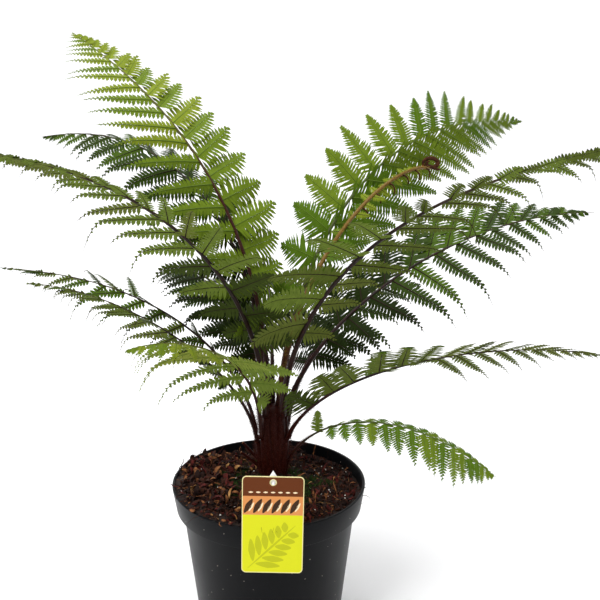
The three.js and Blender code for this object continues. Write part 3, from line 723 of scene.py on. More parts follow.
# %% Spin helper
def spun(name, line, steps):
    """Spins a line of (r, z) points in mm round the Z axis into a mesh that is still editable."""
    shape = bmesh.new()
    verts = [shape.verts.new((r * MM, 0, z * MM)) for r, z in line]
    edges = [shape.edges.new(pair) for pair in zip(verts, verts[1:])]
    bmesh.ops.spin(shape, geom=verts + edges, axis=(0, 0, 1), cent=(0, 0, 0), angle=2 * math.pi,
                   steps=steps, use_merge=True)
    bmesh.ops.remove_doubles(shape, verts=shape.verts, dist=1e-6)
    bmesh.ops.recalc_face_normals(shape, faces=shape.faces)
    return shape


def drawn_out(shape, faces, push):
    """Draws flat faces out by a vector into a solid."""
    made = bmesh.ops.extrude_face_region(shape, geom=faces)["geom"]
    bmesh.ops.translate(shape, verts=[g for g in made if isinstance(g, bmesh.types.BMVert)], vec=push)


def object_from(shape, name, *materials, smooth=40):
    """Turns an edited mesh into an object, with smooth faces up to an angle between them."""
    mesh = bpy.data.meshes.new(name)
    shape.to_mesh(mesh)
    shape.free()
    for material in materials:
        mesh.materials.append(material)
    for face in mesh.polygons:
        face.use_smooth = True
    mesh.set_sharp_from_angle(angle=math.radians(smooth))
    piece = bpy.data.objects.new(name, mesh)
    bpy.context.scene.collection.objects.link(piece)
    return piece


# %% Pot
shape = spun("pot", pot_line, 144)
# sixteen drain slots in the flat underside, sunk so that they show as dark recesses
underside = [f for f in shape.faces if f.normal.z < -0.9 and 0.062 < f.calc_center_median().xy.length < 0.074]
underside.sort(key=lambda f: math.atan2(f.calc_center_median().y, f.calc_center_median().x))
slots = [f for i, f in enumerate(underside) if i % 9 < 4]
bmesh.ops.inset_region(shape, faces=slots, thickness=0.8 * MM, depth=-1.6 * MM)
print("faces in drain slots:", len(slots))


# %% Pot material
# injection-moulded polypropylene: near-black, satin, with a few grains of pale compost dust
def black_polypropylene():
    made, shader = new_material("moulded_polypropylene_satin_black", IOR=1.49, Specular_IOR_Level=0.08)
    place = add_node(made, "ShaderNodeTexCoord")
    # dust specks: about one cell in four of a 7 mm pattern holds a speck about 1 mm across
    cells = add_node(made, "ShaderNodeTexVoronoi", {"Vector": place.outputs["Object"], "Scale": 150})
    speck = add_node(made, "ShaderNodeMapRange", {"Value": cells.outputs["Distance"], "From Min": 0.09,
                                                  "From Max": 0.06})
    chosen = add_node(made, "ShaderNodeMath", {0: cells.outputs["Color"], 1: 0.62}, operation="GREATER_THAN")
    dust = add_node(made, "ShaderNodeMath", {0: speck.outputs[0], 1: chosen.outputs[0]}, operation="MULTIPLY")
    film = add_node(made, "ShaderNodeTexNoise", {"Vector": place.outputs["Object"], "Scale": 22, "Detail": 4})
    colour = add_node(made, "ShaderNodeMix", {"Factor_Float": dust.outputs[0], "A_Color": linear("#0b0c0e"),
                                              "B_Color": linear("#a59c92")}, data_type="RGBA")
    rough = add_node(made, "ShaderNodeMapRange",
                     {"Value": film.outputs["Fac"], "To Min": 0.3, "To Max": 0.46})
    made.node_tree.links.new(colour.outputs[2], shader.inputs["Base Color"])
    made.node_tree.links.new(rough.outputs[0], shader.inputs["Roughness"])
    return made


keep(object_from(shape, "nursery_pot", black_polypropylene(), smooth=50), "pot_plastic", "pot")

# %% [markdown]
# ## Compost
# The body of the compost is a spun solid whose top is pushed into the same slope as in the packed
# model, low at the back and high in front, with more loose bark heaped at the left. It is near
# black, because what shows of it are the gaps between the chips that lie on it. Its colour is dark
# moist peat, darkened further as painted shade of those gaps.

# %% Compost body
TRUNK_AXIS = np.array([5.0, 10.0])
POT_TOP = 190


def ease(value, low, high):
    t = np.clip((value - low) / (high - low), 0, 1)
    return t * t * (3 - 2 * t)


def soil_height(x, y):
    """Height of the compost at a place, all in mm."""
    slope = 176 + 12 * ease(-(0.8 * y + 0.5 * x), -70, 60)
    from_trunk = np.hypot(x - TRUNK_AXIS[0], y - TRUNK_AXIS[1])
    from_heap = np.hypot(x + 55, y + 45)
    rise = 3 * (np.exp(-(from_trunk / 50) ** 2) + np.exp(-(from_heap / 37) ** 2))
    lumps = 1.3 * np.sin(0.11 * x + 1) * np.cos(0.13 * y)
    near = ease(from_trunk, 20, 42)
    # loose bark lies heaped at the left, higher than the rim and well inside it
    left = np.exp(-((x + 82) ** 2 + (y - 20) ** 2) / 36 ** 2)
    front_left = np.exp(-((x + 50) ** 2 + (y + 66) ** 2) / 28 ** 2)
    heap = (14 * left + 5 * front_left) * ease(108 - np.hypot(x, y), 0, 8)
    return np.minimum(192 + (slope + rise + lumps - 192) * near, 192) + heap


top_radii = np.linspace(0, 109.6, 40)
shape = spun("compost", [(0, 2.8), (82.5, 2.8), (100.6, 163.3), (108.2, 163.3)]
             + [(r, 190) for r in top_radii[::-1]], 96)
for vert in shape.verts:
    if vert.co.z > 0.185:
        x, y = vert.co.x / MM, vert.co.y / MM
        r = math.hypot(x, y)
        z = float(soil_height(x, y))
        if r > 109:
            wall = (108.5 + (z - 163) * 0.1222 - 0.3) / r
            vert.co.x, vert.co.y = x * wall * MM, y * wall * MM
        vert.co.z = z * MM
# peat and fine coir between the chips: matt and dark when moist, darkened further to near black as painted
# shade of the gaps
peat, peat_shader = new_material("moist_peat_with_painted_gap_shade", Roughness=0.95)
grains = add_node(peat, "ShaderNodeTexCoord")
crumbs = add_node(peat, "ShaderNodeTexNoise", {"Vector": grains.outputs["Object"], "Scale": 260, "Detail": 5})
peat_and_gap_shade_tone = add_node(peat, "ShaderNodeMix",
                     {"Factor_Float": crumbs.outputs["Fac"], "A_Color": linear("#0b0604"),
                      "B_Color": linear("#2b170c")}, data_type="RGBA")
peat.node_tree.links.new(peat_and_gap_shade_tone.outputs[2], peat_shader.inputs["Base Color"])
keep(object_from(shape, "compost_body", peat), "compost", "compost")

# %% [markdown]
# ## Bark chips, shreds, moss and perlite
# Potting bark is split in random flat flakes, mixed with curled shreds of coir, tufts of moss and
# a few white grains of perlite. Each kind is one joined mesh, as there are hundreds of them.

# %% Places on the compost
def scatter(count, rng, edge=106, inner=14):
    """Random places in mm on the compost, none inside the trunk."""
    found = np.empty((0, 2))
    while len(found) < count:
        trial = rng.uniform(-edge, edge, (count * 2, 2))
        away = np.hypot(*(trial - TRUNK_AXIS).T)
        found = np.vstack([found, trial[(np.hypot(*trial.T) < edge) & (away > inner)]])
    place = found[:count]
    return np.column_stack([place, soil_height(*place.T)])


def clods(place):
    """Extra height in mm, so that loose flakes lie in uneven clumps."""
    high = [6 * noise.noise(Vector((x / 17, y / 17, 3))) + 2 * noise.noise(Vector((x / 6, y / 6, 7)))
            for x, y, _ in place]
    return place + np.column_stack([np.zeros((len(place), 2)), np.maximum(high, -0.5)])


def turned(yaw, tilt, lean):
    """Rotation matrices: yaw round Z after a tilt by lean towards a random side."""
    c, s = np.cos(yaw), np.sin(yaw)
    spin = np.stack([np.stack([c, -s, 0 * c], -1), np.stack([s, c, 0 * c], -1),
                     np.stack([0 * c, 0 * c, 0 * c + 1], -1)], 1)
    ax = np.stack([np.cos(tilt), np.sin(tilt), 0 * tilt], -1)
    k = np.zeros((len(yaw), 3, 3))
    k[:, 0, 2], k[:, 2, 0] = ax[:, 1], -ax[:, 1]
    k[:, 1, 2], k[:, 2, 1] = -ax[:, 0], ax[:, 0]
    lean = lean[:, None, None]
    return (np.eye(3) + np.sin(lean) * k + (1 - np.cos(lean)) * k @ k) @ spin


# %% Bark materials
def dry_matter(name, dark, pale, scale, roughness=0.85):
    """A matt natural stuff in two tones that run into each other over a few millimetres."""
    made, shader = new_material(name, Roughness=roughness, Specular_IOR_Level=0.2)
    place = add_node(made, "ShaderNodeTexCoord")
    grain = add_node(made, "ShaderNodeTexNoise",
                     {"Vector": place.outputs["Object"], "Scale": scale, "Detail": 3})
    spread = add_node(made, "ShaderNodeMapRange",
                      {"Value": grain.outputs["Fac"], "From Min": 0.3, "From Max": 0.7})
    colour = add_node(made, "ShaderNodeMix", {"Factor_Float": spread.outputs[0], "A_Color": linear(dark),
                                              "B_Color": linear(pale)}, data_type="RGBA")
    made.node_tree.links.new(colour.outputs[2], shader.inputs["Base Color"])
    return made


BARKS = [
    dry_matter("split_bark_red_brown", "#1d0b06", "#43200f", 300),
    dry_matter("split_bark_dark", "#0d0503", "#28120a", 300),
    dry_matter("split_bark_tan", "#4d2a15", "#96623a", 300),
    dry_matter("split_bark_wet_red", "#2a0a08", "#5c1f18", 300),
    dry_matter("split_bark_gold", "#70451f", "#c0915a", 300),
]


# %% Bark chips
def chip_parts(place, size, rng, share):
    count = len(place)
    turn = np.arange(6) / 6 * 2 * np.pi + rng.uniform(-0.4, 0.4, (count, 6))
    radius = rng.uniform(0.6, 1, (count, 6))
    wide = size * rng.uniform(0.35, 0.75, count)
    x = np.cos(turn) * radius * size[:, None] / 2
    y = np.sin(turn) * radius * wide[:, None] / 2
    thick = np.clip(size * 0.16, 0.7, 2.4)[:, None] * rng.uniform(0.7, 1.3, (count, 1))
    bend = rng.uniform(0, 0.25, (count, 1)) * size[:, None] * (x / size[:, None]) ** 2 * 4
    upper = np.stack([x, y, bend + thick / 2 + rng.uniform(-0.2, 0.3, (count, 6))], -1)
    lower = np.stack([x * 0.85, y * 0.85, bend - thick / 2], -1)
    shape = np.concatenate([upper, lower], 1)
    lean = np.abs(rng.normal(0, 0.42, count))
    turns = turned(rng.uniform(0, 2 * np.pi, count), rng.uniform(0, 2 * np.pi, count), lean)
    shape = np.einsum("nij,nkj->nki", turns, shape) + place[:, None]
    shape[..., 2] += (0.4 + 0.22 * size * lean)[:, None]
    ring = [[i, (i + 1) % 6, 6 + (i + 1) % 6] for i in range(6)]
    ring += [[i, 6 + (i + 1) % 6, 6 + i] for i in range(6)]
    faces = np.array([[0, i + 1, i + 2] for i in range(4)] + [[6, 8 + i, 7 + i] for i in range(4)]
                     + [[a, c, b] for a, b, c in ring])
    kinds = rng.choice(len(share), count, p=share)
    return [one_kind(shape[i] * MM, faces, kinds[i]) for i in range(count)]


rng = np.random.default_rng(11)
place = clods(scatter(1500, rng))
size = rng.uniform(3, 10, 1500) * np.where(rng.random(1500) < 0.12, 1.5, 1)
chips = chip_parts(place, size, rng, [0.3, 0.55, 0.03, 0.11, 0.01])
# a second layer on the heap at the left and front left, where paler dry flakes lie
place = clods(scatter(900, rng))
heap = (place[:, 0] < 0) & (np.hypot(place[:, 0], place[:, 1]) > 45) | (place[:, 1] < -75)
place = place[heap] + (0, 0, 2.2)
chips += chip_parts(place, rng.uniform(3, 9, len(place)), rng, [0.38, 0.42, 0.06, 0.12, 0.02])
# some flakes lie on the rim at the front left
around = rng.uniform(math.radians(215), math.radians(252), 26)
far = rng.uniform(106, 115, 26)
place = np.column_stack([np.cos(around) * far, np.sin(around) * far, 190.6 + rng.uniform(0, 1.5, 26)])
chips += chip_parts(place, rng.uniform(3, 8, 26), rng, [0.34, 0.16, 0.24, 0.14, 0.12])
keep(joined_piece("bark_chips", chips, BARKS), "compost", "compost")


# %% Curled shreds and coir fibres
def shred_parts(place, length, radius, rng, share, rise=0.35):
    parts = []
    kinds = rng.choice(len(share), len(place), p=share)
    for start, long, thin, kind in zip(place, length, radius, kinds):
        steps = 7
        pitch = rng.uniform(-0.1, rise) + np.cumsum(rng.normal(-0.08, 0.28, steps))
        yaw = rng.uniform(0, 2 * np.pi) + np.cumsum(rng.normal(rng.normal(0, 0.25), 0.2, steps))
        step = np.stack([np.cos(pitch) * np.cos(yaw), np.cos(pitch) * np.sin(yaw), np.sin(pitch)], 1)
        line = start + np.cumsum(step * long / steps, axis=0)
        line[:, 2] = np.maximum(line[:, 2], soil_height(line[:, 0], line[:, 1]) + 0.5)
        across = unit(np.cross(step, [0.01, 0.02, 1]))
        taper = np.array([0.4, 0.8, 1, 1, 0.9, 0.7, 0.25]) * thin
        parts.append(one_kind(*tube(line * MM, taper * MM, 3, across, np.cross(across, step) * 0.5), kind))
    return parts


def curl_parts(place, long, wide, rng, share):
    """Thin strips of inner bark that have curled as they dried."""
    parts = []
    kinds = rng.choice(len(share), len(place), p=share)
    for start, length, width, kind in zip(place, long, wide, kinds):
        steps = 9
        bend = rng.uniform(1.5, 4.2) * rng.choice([-1, 1])
        angle = rng.uniform(-0.4, 0.9) + np.linspace(0, bend, steps)
        local = np.cumsum(np.stack([np.cos(angle), 0 * angle, np.sin(angle)], 1) * length / steps, axis=0)
        local[:, 1] += np.linspace(0, rng.uniform(-0.3, 0.3) * length, steps)
        normal = np.stack([-np.sin(angle), 0 * angle, np.cos(angle)], 1)
        side = np.tile([0.0, 1, 0], (steps, 1))
        half = width / 2 * np.array([0.4, 0.8, 1, 0.9, 1, 0.85, 1, 0.7, 0.3]) * rng.uniform(0.8, 1.2, steps)
        skin = np.stack([local + side * half[:, None], local + normal * 0.3, local - side * half[:, None],
                         local - normal * 0.3], 1).reshape(-1, 3)
        turn = turned(rng.uniform(0, 6.28, 1), rng.uniform(0, 6.28, 1), rng.uniform(0, 0.5, 1))[0]
        skin = (skin - skin.mean(0)) @ turn.T
        skin += start + (0, 0, 0.25 * np.ptp(skin[:, 2]))
        i = (np.arange(steps - 1)[:, None] * 4 + np.arange(4)).ravel()
        j = (np.arange(steps - 1)[:, None] * 4 + (np.arange(4) + 1) % 4).ravel()
        faces = np.concatenate([np.stack([i, j, j + 4], 1), np.stack([i, j + 4, i + 4], 1),
                                [[0, 2, 1], [0, 3, 2], [32, 33, 34], [32, 34, 35]]])
        parts.append(one_kind(skin * MM, faces, kind))
    return parts


rng = np.random.default_rng(21)
spots = clods(scatter(1100, rng, edge=104)) + (0, 0, 1.5)
left = (spots[:, 0] < -15) | (spots[:, 1] < -60) | (rng.random(1100) < 0.35)
spots = spots[left]
curls = curl_parts(spots, rng.uniform(7, 19, len(spots)), rng.uniform(1.5, 4.5, len(spots)), rng,
                   [0.38, 0.4, 0.08, 0.12, 0.02])
# big husks lie on the heap at the left
spots = clods(scatter(420, rng, edge=101)) + (0, 0, 3)
spots = spots[(spots[:, 0] < -38) & (spots[:, 1] > -70)]
curls += curl_parts(spots, rng.uniform(11, 24, len(spots)), rng.uniform(3, 6.5, len(spots)), rng,
                    [0.34, 0.22, 0.2, 0.16, 0.08])
keep(joined_piece("bark_curls", curls, BARKS), "compost", "compost")

rng = np.random.default_rng(12)
shreds = shred_parts(clods(scatter(620, rng)) + (0, 0, 1.5), rng.uniform(9, 26, 620),
                     rng.uniform(0.5, 1.5, 620), rng, [0.34, 0.42, 0.1, 0.12, 0.02])
coir = shred_parts(scatter(500, rng) + (0, 0, 2), rng.uniform(12, 36, 500), rng.uniform(0.15, 0.35, 500),
                   rng, [0.46, 0.26, 0.14, 0.1, 0.04])
around = rng.uniform(math.radians(205), math.radians(262), 30)
far = rng.uniform(104, 112, 30)
place = np.column_stack([np.cos(around) * far, np.sin(around) * far, np.full(30, 190.5)])
spilt = shred_parts(place, rng.uniform(5, 13, 30), rng.uniform(0.4, 1, 30), rng, [0.4, 0.1, 0.3, 0.1, 0.1])
twig = shred_parts(np.array([[-98, -4, 189.0], [-99, -6, 189.5], [-97, -2, 189]]), [27, 24, 20],
                   [0.9, 0.6, 0.5], rng, [0, 0, 1, 0, 0], rise=0.12)
keep(joined_piece("curled_shreds_and_coir", shreds + coir + spilt + twig, BARKS), "compost", "compost")


# %% Moss tufts
def moss_parts(centres, rng):
    blade = np.array([[-1, 0, 0], [1, 0, 0], [0, 0.2, 1.0], [0, -1.2, 0.1]])
    faces = np.array([[0, 1, 2], [1, 3, 2], [3, 0, 2]])
    parts = []
    for centre in centres:
        n = 60
        size = rng.uniform(4, 8)
        spot = rng.normal(0, size * 0.45, (n, 2))
        high = np.maximum(0, 1 - (np.hypot(*spot.T) / size) ** 2) * size * 0.3
        base = np.column_stack([centre[0] + spot[:, 0], centre[1] + spot[:, 1], centre[2] + high])
        turns = turned(rng.uniform(0, 6.28, n), rng.uniform(0, 6.28, n), rng.uniform(0, 0.9, n))
        shape = np.einsum("nij,kj->nki", turns, blade * (0.45, 0.45, 2.6)) + base[:, None]
        kinds = rng.integers(0, 2, n)
        parts += [one_kind(shape[i] * MM, faces, kinds[i]) for i in range(n)]
    return parts


MOSSES = [dry_matter("cushion_moss_dark", "#121f0c", "#263a16", 260),
          dry_matter("cushion_moss", "#1e3010", "#42591f", 260)]
rng = np.random.default_rng(13)
patches = np.array([[8, -26], [-18, -38], [48, 2], [30, 16], [-28, -18], [-40, 12], [-8, -42], [34, -6],
                    [42, -30], [22, 34], [-20, 52], [58, 8], [-38, -34], [-14, -22], [28, -24], [-30, 30]])
spots = scatter(900, rng, inner=17)
near = np.min(np.hypot(*(spots[:, None, :2] - patches[None]).transpose(2, 0, 1)), axis=1)
tufts = moss_parts(clods(spots[near < rng.uniform(5, 24, 900)]) + (0, 0, 1.6), rng)
keep(joined_piece("moss_tufts", tufts, MOSSES), "compost", "compost")


# %% Perlite
def grain_shape():
    shape = bmesh.new()
    bmesh.ops.create_icosphere(shape, subdivisions=1, radius=1)
    points = np.array([v.co[:] for v in shape.verts])
    faces = np.array([[v.index for v in f.verts] for f in shape.faces])
    shape.free()
    return points, faces


# expanded volcanic glass: white, matt, full of tiny pores
perlite_white = dry_matter("expanded_perlite", "#c9c4ba", "#f4f1ea", 500, 0.95)
grain_points, grain_faces = grain_shape()
rng = np.random.default_rng(14)
grains = []
for spot in scatter(120, rng):
    size = rng.uniform(0.5, 1.5)
    lump = grain_points * rng.uniform(0.7, 1.2, (12, 1)) * size * (1, 1, 0.8)
    lump = lump + spot + (0, 0, 1.6 + rng.uniform(0, 2))
    grains.append(one_kind(lump * MM, grain_faces))
keep(joined_piece("perlite_grains", grains, [perlite_white]), "compost", "compost")

# %% [markdown]
# ## The clump of stipe bases
# A young tree fern has no bare trunk yet. What looks like one is a bundle of old stipe bases, one
# under each frond, grown together, fluted lengthwise and clad in reddish hairs. So one limb runs
# down from each frond's root to the compost, with grooves in its skin, round a dark core.

# %% Stipe base limbs
TRUNK_TAPER = ([0, 8, 25, 48, 62, 76, 86, 90], [15, 18.5, 21.5, 21.5, 19.5, 18.5, 17.5, 15])
TRUNK_FOOT = 192.3
RIGHT, BACK = np.array([1.0, 0, 0]), np.array([0, 1.0, 0])


def base_limb(name, foot_angle, rng):
    """A grooved limb from the compost up to where the frond's stipe starts."""
    f = FRONDS[name]
    angle, distance, height = f["root"]
    rings = max(8, int(height / 3))
    h = np.linspace(-4, height, rings)
    share = ease(h, 0, height)
    radius = 5.4 + (4 * f["thick"] - 5.4) * share ** 2
    turn = np.radians(foot_angle + (angle - foot_angle) * share)
    limit = np.interp(h, *TRUNK_TAPER) - radius - 0.4
    out = np.minimum(limit, distance + (limit[0] + 2 - distance) * (1 - share))
    out[-1] = distance
    line = np.column_stack([TRUNK_AXIS[0] + out * np.cos(turn), TRUNK_AXIS[1] + out * np.sin(turn),
                            POT_TOP + h])
    # the limb runs on a little way inside the stipe, so that no edge shows where they meet
    own = at(lines[name], np.linspace(0.01, 0.1, 8), "point") / MM
    line = np.vstack([line, own])
    radius = np.append(radius, 4 * f["thick"] * np.linspace(1.02, 0.72, 8))
    h = np.append(h, height + np.linspace(3, 30, 8))
    rings += 8
    sides = 16
    spot = np.linspace(0, 2 * np.pi, sides, endpoint=False)
    groove = 1 + 0.11 * np.sin(4 * spot + rng.uniform(0, 6))[None] + rng.normal(0, 0.03, (rings, sides))
    points, faces = tube(line * MM, np.ones(rings) * MM, sides, RIGHT, BACK)
    centre = np.repeat(line, sides, axis=0) * MM
    points[:-2] = centre + (points[:-2] - centre) * (radius[:, None] * groove).ravel()[:, None]
    return points, faces, np.append(np.repeat(h / 400, sides), [0, h[-1] / 400])


order = sorted(FRONDS, key=lambda n: FRONDS[n]["root"][0] % 360)
rng = np.random.default_rng(15)
limbs, limb_tone = [], []
for i, name in enumerate(order):
    own = FRONDS[name]["root"][0] % 360
    even = i * 360 / len(order) + 20
    gap = (even - own + 180) % 360 - 180
    points, faces, tone = base_limb(name, FRONDS[name]["root"][0] + 0.6 * gap, rng)
    limbs.append(one_kind(points, faces))
    limb_tone.append(tone)
core_line = np.column_stack([np.tile(TRUNK_AXIS, (9, 1)), np.linspace(188, 282, 9)])
points, faces = tube(core_line * MM, np.array([11, 14, 15, 15, 15, 14, 13, 11, 7]) * MM, 24, RIGHT, BACK)
limbs.append(one_kind(points, faces))
limb_tone.append(np.zeros(len(points)))
trunk_skin = stalk_skin("tree_fern_stipe_bases", "#2a0904", "#140402", "#140402", "#3c1008", 0.1)
keep(joined_piece("stipe_bases", limbs, [trunk_skin], smooth=True, tone=limb_tone), "stalk", "trunk")


# %% Hairs on the stipe bases
# fine soft hairs, 2 to 7 mm long, red-brown and paler against the light; drawn a little thick
def hair_parts(points, normals, length, rng, wide=0.1):
    count = len(points)
    drop = rng.normal(0, 0.35, (count, 3)) + (0, 0, 0.15)
    ahead = unit(normals + drop)
    across = unit(np.cross(ahead, rng.normal(0, 1, (count, 3)))) * wide * MM
    tip = points + ahead * length[:, None] * MM
    shape = np.stack([points - across, points + across, tip], 1)
    faces = np.array([[0, 1, 2]])
    kinds = rng.integers(0, 2, count)
    return [(shape[i], faces, kinds[i:i + 1]) for i in range(count)]


rng = np.random.default_rng(16)
count = 6000
turn = rng.uniform(0, 2 * np.pi, count)
h = rng.uniform(2, 88, count)
far = np.interp(h, *TRUNK_TAPER) - rng.uniform(0.3, 2.5, count)
normals = np.column_stack([np.cos(turn), np.sin(turn), np.zeros(count)])
spots = np.column_stack([TRUNK_AXIS + far[:, None] * normals[:, :2], TRUNK_FOOT + h]) * MM
hairs = hair_parts(spots, normals, rng.uniform(2.5, 7, count), rng, 0.1)
for name, line in lines.items():
    # the lowest fifth of each frond carries hairs too
    n = 700
    s = rng.uniform(0, 0.2, n) ** 1.1
    turn = rng.uniform(0, 2 * np.pi, n)[:, None]
    out = np.cos(turn) * at(line, s, "side") + np.sin(turn) * at(line, s, "up")
    start = at(line, s, "point") + out * 3.6 * FRONDS[name]["thick"] * MM
    hairs += hair_parts(start, out, rng.uniform(2, 5.5, n), rng)
# the young frond is scaly up to its coil
n = 1500
s = rng.uniform(0.1, 1, n)
turn = rng.uniform(0, 2 * np.pi, n)[:, None]
line = lines["young_right"]
out = np.cos(turn) * at(line, s, "side") + np.sin(turn) * at(line, s, "up")
start = at(line, s, "point") + out * 2 * MM
scaly = hair_parts(start, unit(out + 1.2 * at(line, s, "along")), rng.uniform(1, 3, n), rng, 0.25)
hairs += [(points, faces, kind + 2) for points, faces, kind in scaly]
HAIRS = [dry_matter("stipe_hair_red_brown", "#260a06", "#42140e", 200, 0.6),
         dry_matter("stipe_hair_pale", "#3c140e", "#5e2a1e", 200, 0.6),
         dry_matter("young_stipe_scale_brown", "#5a3010", "#8a5520", 200, 0.7),
         dry_matter("young_stipe_scale_gold", "#8f6a1e", "#b49a3c", 200, 0.7)]
keep(joined_piece("stipe_hairs", hairs, HAIRS), "stalk", "trunk")


# %% Cut stubs
# two old stipes cut off short: same skin as the clump, with a dry brown cut end
def stub(name, root, heading, lift, length, thick):
    angle, distance, height = root
    start = np.array([TRUNK_AXIS[0] + distance * math.cos(math.radians(angle)),
                      TRUNK_AXIS[1] + distance * math.sin(math.radians(angle)), POT_TOP + height])
    pitch, yaw = math.radians(lift), math.radians(heading)
    along = np.array([math.cos(pitch) * math.cos(yaw), math.cos(pitch) * math.sin(yaw), math.sin(pitch)])
    side = np.array([-math.sin(yaw), math.cos(yaw), 0])
    share = np.linspace(-0.25, 1, 9)
    line = start + along * (share * length)[:, None]
    radius = 4 * thick * np.interp(share, [-0.25, 1], [1.15, 0.8])
    points, faces = tube(line * MM, radius * MM, 12, side, np.cross(along, side))
    kinds = np.zeros(len(faces), int)
    kinds[-12:] = 1
    piece = joined_piece(name, [(points, faces, kinds)], [trunk_skin, BARKS[2]],
                         tone=[np.zeros(len(points))])
    keep(piece, "stalk", name)


stub("stub_upper", (168, 20, 22), 176, 50, 26, 0.5)
stub("stub_lower", (190, 19, 17), 186, 42, 26, 0.45)

# %% [markdown]
# ## The coiled tip
# The youngest frond still ends in a crozier: the rib makes one and a quarter turns in an oval
# loop, clad in dark brown scales. It is a tube along that loop with short scales round it, and a
# second tube below it for the rib's own end.

# %% Crozier
def crozier():
    line = lines["young_right"]
    tip, along = line["point"][-1], line["along"][-1]
    # the coil is flattened, and twisted to the right of the rib's own plane
    ahead = unit(0.3 * along + np.array([0.8, -0.1, 0]))
    up = unit(np.cross(np.cross(ahead, [0, 0.3, 1]), ahead))
    side = np.cross(up, ahead)
    centre = tip + ahead * 1 * MM + up * 6 * MM
    share = np.linspace(0, 1, 60)
    turn = -0.7 + share * 1.25 * 2 * np.pi
    coil = (11.5 - 6 * share) * MM
    outward = up * np.sin(turn)[:, None] * 0.68 - ahead * np.cos(turn)[:, None]
    path = centre + outward * coil[:, None]
    radius = (1.7 + 1.2 * np.sin(np.pi * share)) * MM
    parts = [one_kind(*tube(path, radius, 12, unit(outward), side))]
    # the rib's own end, scaly too, runs on below the loop to a short nub
    reach = np.linspace(0, 1, 16)[:, None]
    base = tip - along * 13 * MM * (1 - reach) ** 2 + ahead * 14 * MM * reach ** 2
    base = base + up * 1.5 * MM * np.sin(5 * reach)
    thick = np.interp(reach[:, 0], [0, 0.5, 0.85, 1], [2.1, 2.3, 1.5, 0.5]) * MM
    parts.append(one_kind(*tube(base, thick, 12, up, side)))
    rng = np.random.default_rng(17)
    n = 700
    k = rng.integers(0, 60, n)
    spin = rng.uniform(0, 2 * np.pi, n)[:, None]
    out = np.cos(spin) * outward[k] + np.sin(spin) * side
    start = path[k] + out * radius[k][:, None] * 0.9
    step = unit(np.gradient(path, axis=0))[k]
    scales = hair_parts(start, unit(out * 0.5 + step), rng.uniform(1.2, 3, n), rng)
    parts += [(points, faces, kind + 1) for points, faces, kind in scales]
    return parts


SCALES = [dry_matter("crozier_skin", "#261005", "#46240e", 300),
          dry_matter("crozier_scale_dark", "#341a08", "#5f3614", 300),
          dry_matter("crozier_scale_gold", "#7a4a1c", "#b5722e", 300)]
keep(joined_piece("crozier_coil", crozier(), SCALES, smooth=True), "stalk", "crozier")

# %% [markdown]
# ## Hooked side stalks
# Below the coil the young frond's side stalks have come out and not yet unrolled: bare, dark
# hooks, 13 to 18 mm long, that bend down from the rib. Each is a short tube along a curve that
# steepens evenly, which costs few faces and keeps their true thickness.

# %% Side stalks
def side_stalks():
    """The young frond's hooks: tubes in upright planes, out to the right and front, then down."""
    line = lines["young_right"]
    rng = np.random.default_rng(19)
    steps, down = 14, np.array([0, 0, -1.0])
    parts = []
    for s in np.linspace(0.56, 0.965, 7):
        foot = at(line, np.array([s]), "point")[0]
        # they leave to the right and the front, on the side that the rib leans to
        ahead = unit(np.array([0.85, -0.45, 0.1]) + rng.normal(0, 0.12, 3))
        axis = unit(np.cross(ahead, down))
        turn = np.linspace(0.1, rng.uniform(1.5, 2.3), steps)[:, None]
        step = np.cos(turn) * ahead + np.sin(turn) * down
        path = foot + down * 1.2 * MM + np.cumsum(step, axis=0) * rng.uniform(13, 18) / steps * MM
        radius = np.linspace(1.25, 0.75, steps) * MM
        parts.append(one_kind(*tube(path, radius, 8, unit(np.cross(axis, step)), axis)))
    return parts


hooks = joined_piece("young_side_stalks", side_stalks(), SCALES[:1], smooth=True)
keep(hooks, "stalk", "stipe_young_right")

# %% [markdown]
# ## Plant label
# A card of white plastic sheet, die cut with round corners and one hole, printed in flat
# colours. The print is generic: a plain brown head, a tan band with a row of leaves and a lime
# field with one leaf sprig. Each printed colour is a layer of ink 0.04 mm thick on the card.

# %% Card outline
LABEL_TURN = math.radians(1.2)
LEAN = math.radians(3)
HOLE_X, HOLE_Z = 8.5, 245
CARD_BACK = -115.45 + 55 * math.tan(LEAN)
HOLE = Vector((HOLE_X, CARD_BACK, HOLE_Z)) * MM
CARD_THICK, CARD_HOLE_R = 0.8, 3.2
STAKE_GAP, STAKE_THICK, PEG_R, PEG_LONG, PEG_REACH = 1.1, 1.6, 1.6, 3.7, 1


def on_card(x, y, out):
    """A place on the card in mm from its hole: right, up, and out from its back."""
    u = x * math.cos(LABEL_TURN) + y * math.sin(LABEL_TURN)
    v = -x * math.sin(LABEL_TURN) + y * math.cos(LABEL_TURN)
    return HOLE + Vector((u, v * math.sin(LEAN) - out * math.cos(LEAN),
                          v * math.cos(LEAN) + out * math.sin(LEAN))) * MM


def round_box(left, right, low, high, corner, steps=7):
    """Corners of a rounded rectangle, anticlockwise; corner is one radius or four from lower left."""
    radii = corner if isinstance(corner, tuple) else (corner,) * 4
    centres = [(left, low, 180), (right, low, 270), (right, high, 0), (left, high, 90)]
    points = []
    for (x, y, start), r in zip(centres, radii):
        cx = x + r if x == left else x - r
        cy = y + r if y == low else y - r
        for a in np.radians(np.linspace(start, start + 90, steps if r > 0 else 1)):
            points.append((cx + r * math.cos(a), cy + r * math.sin(a)))
    return points


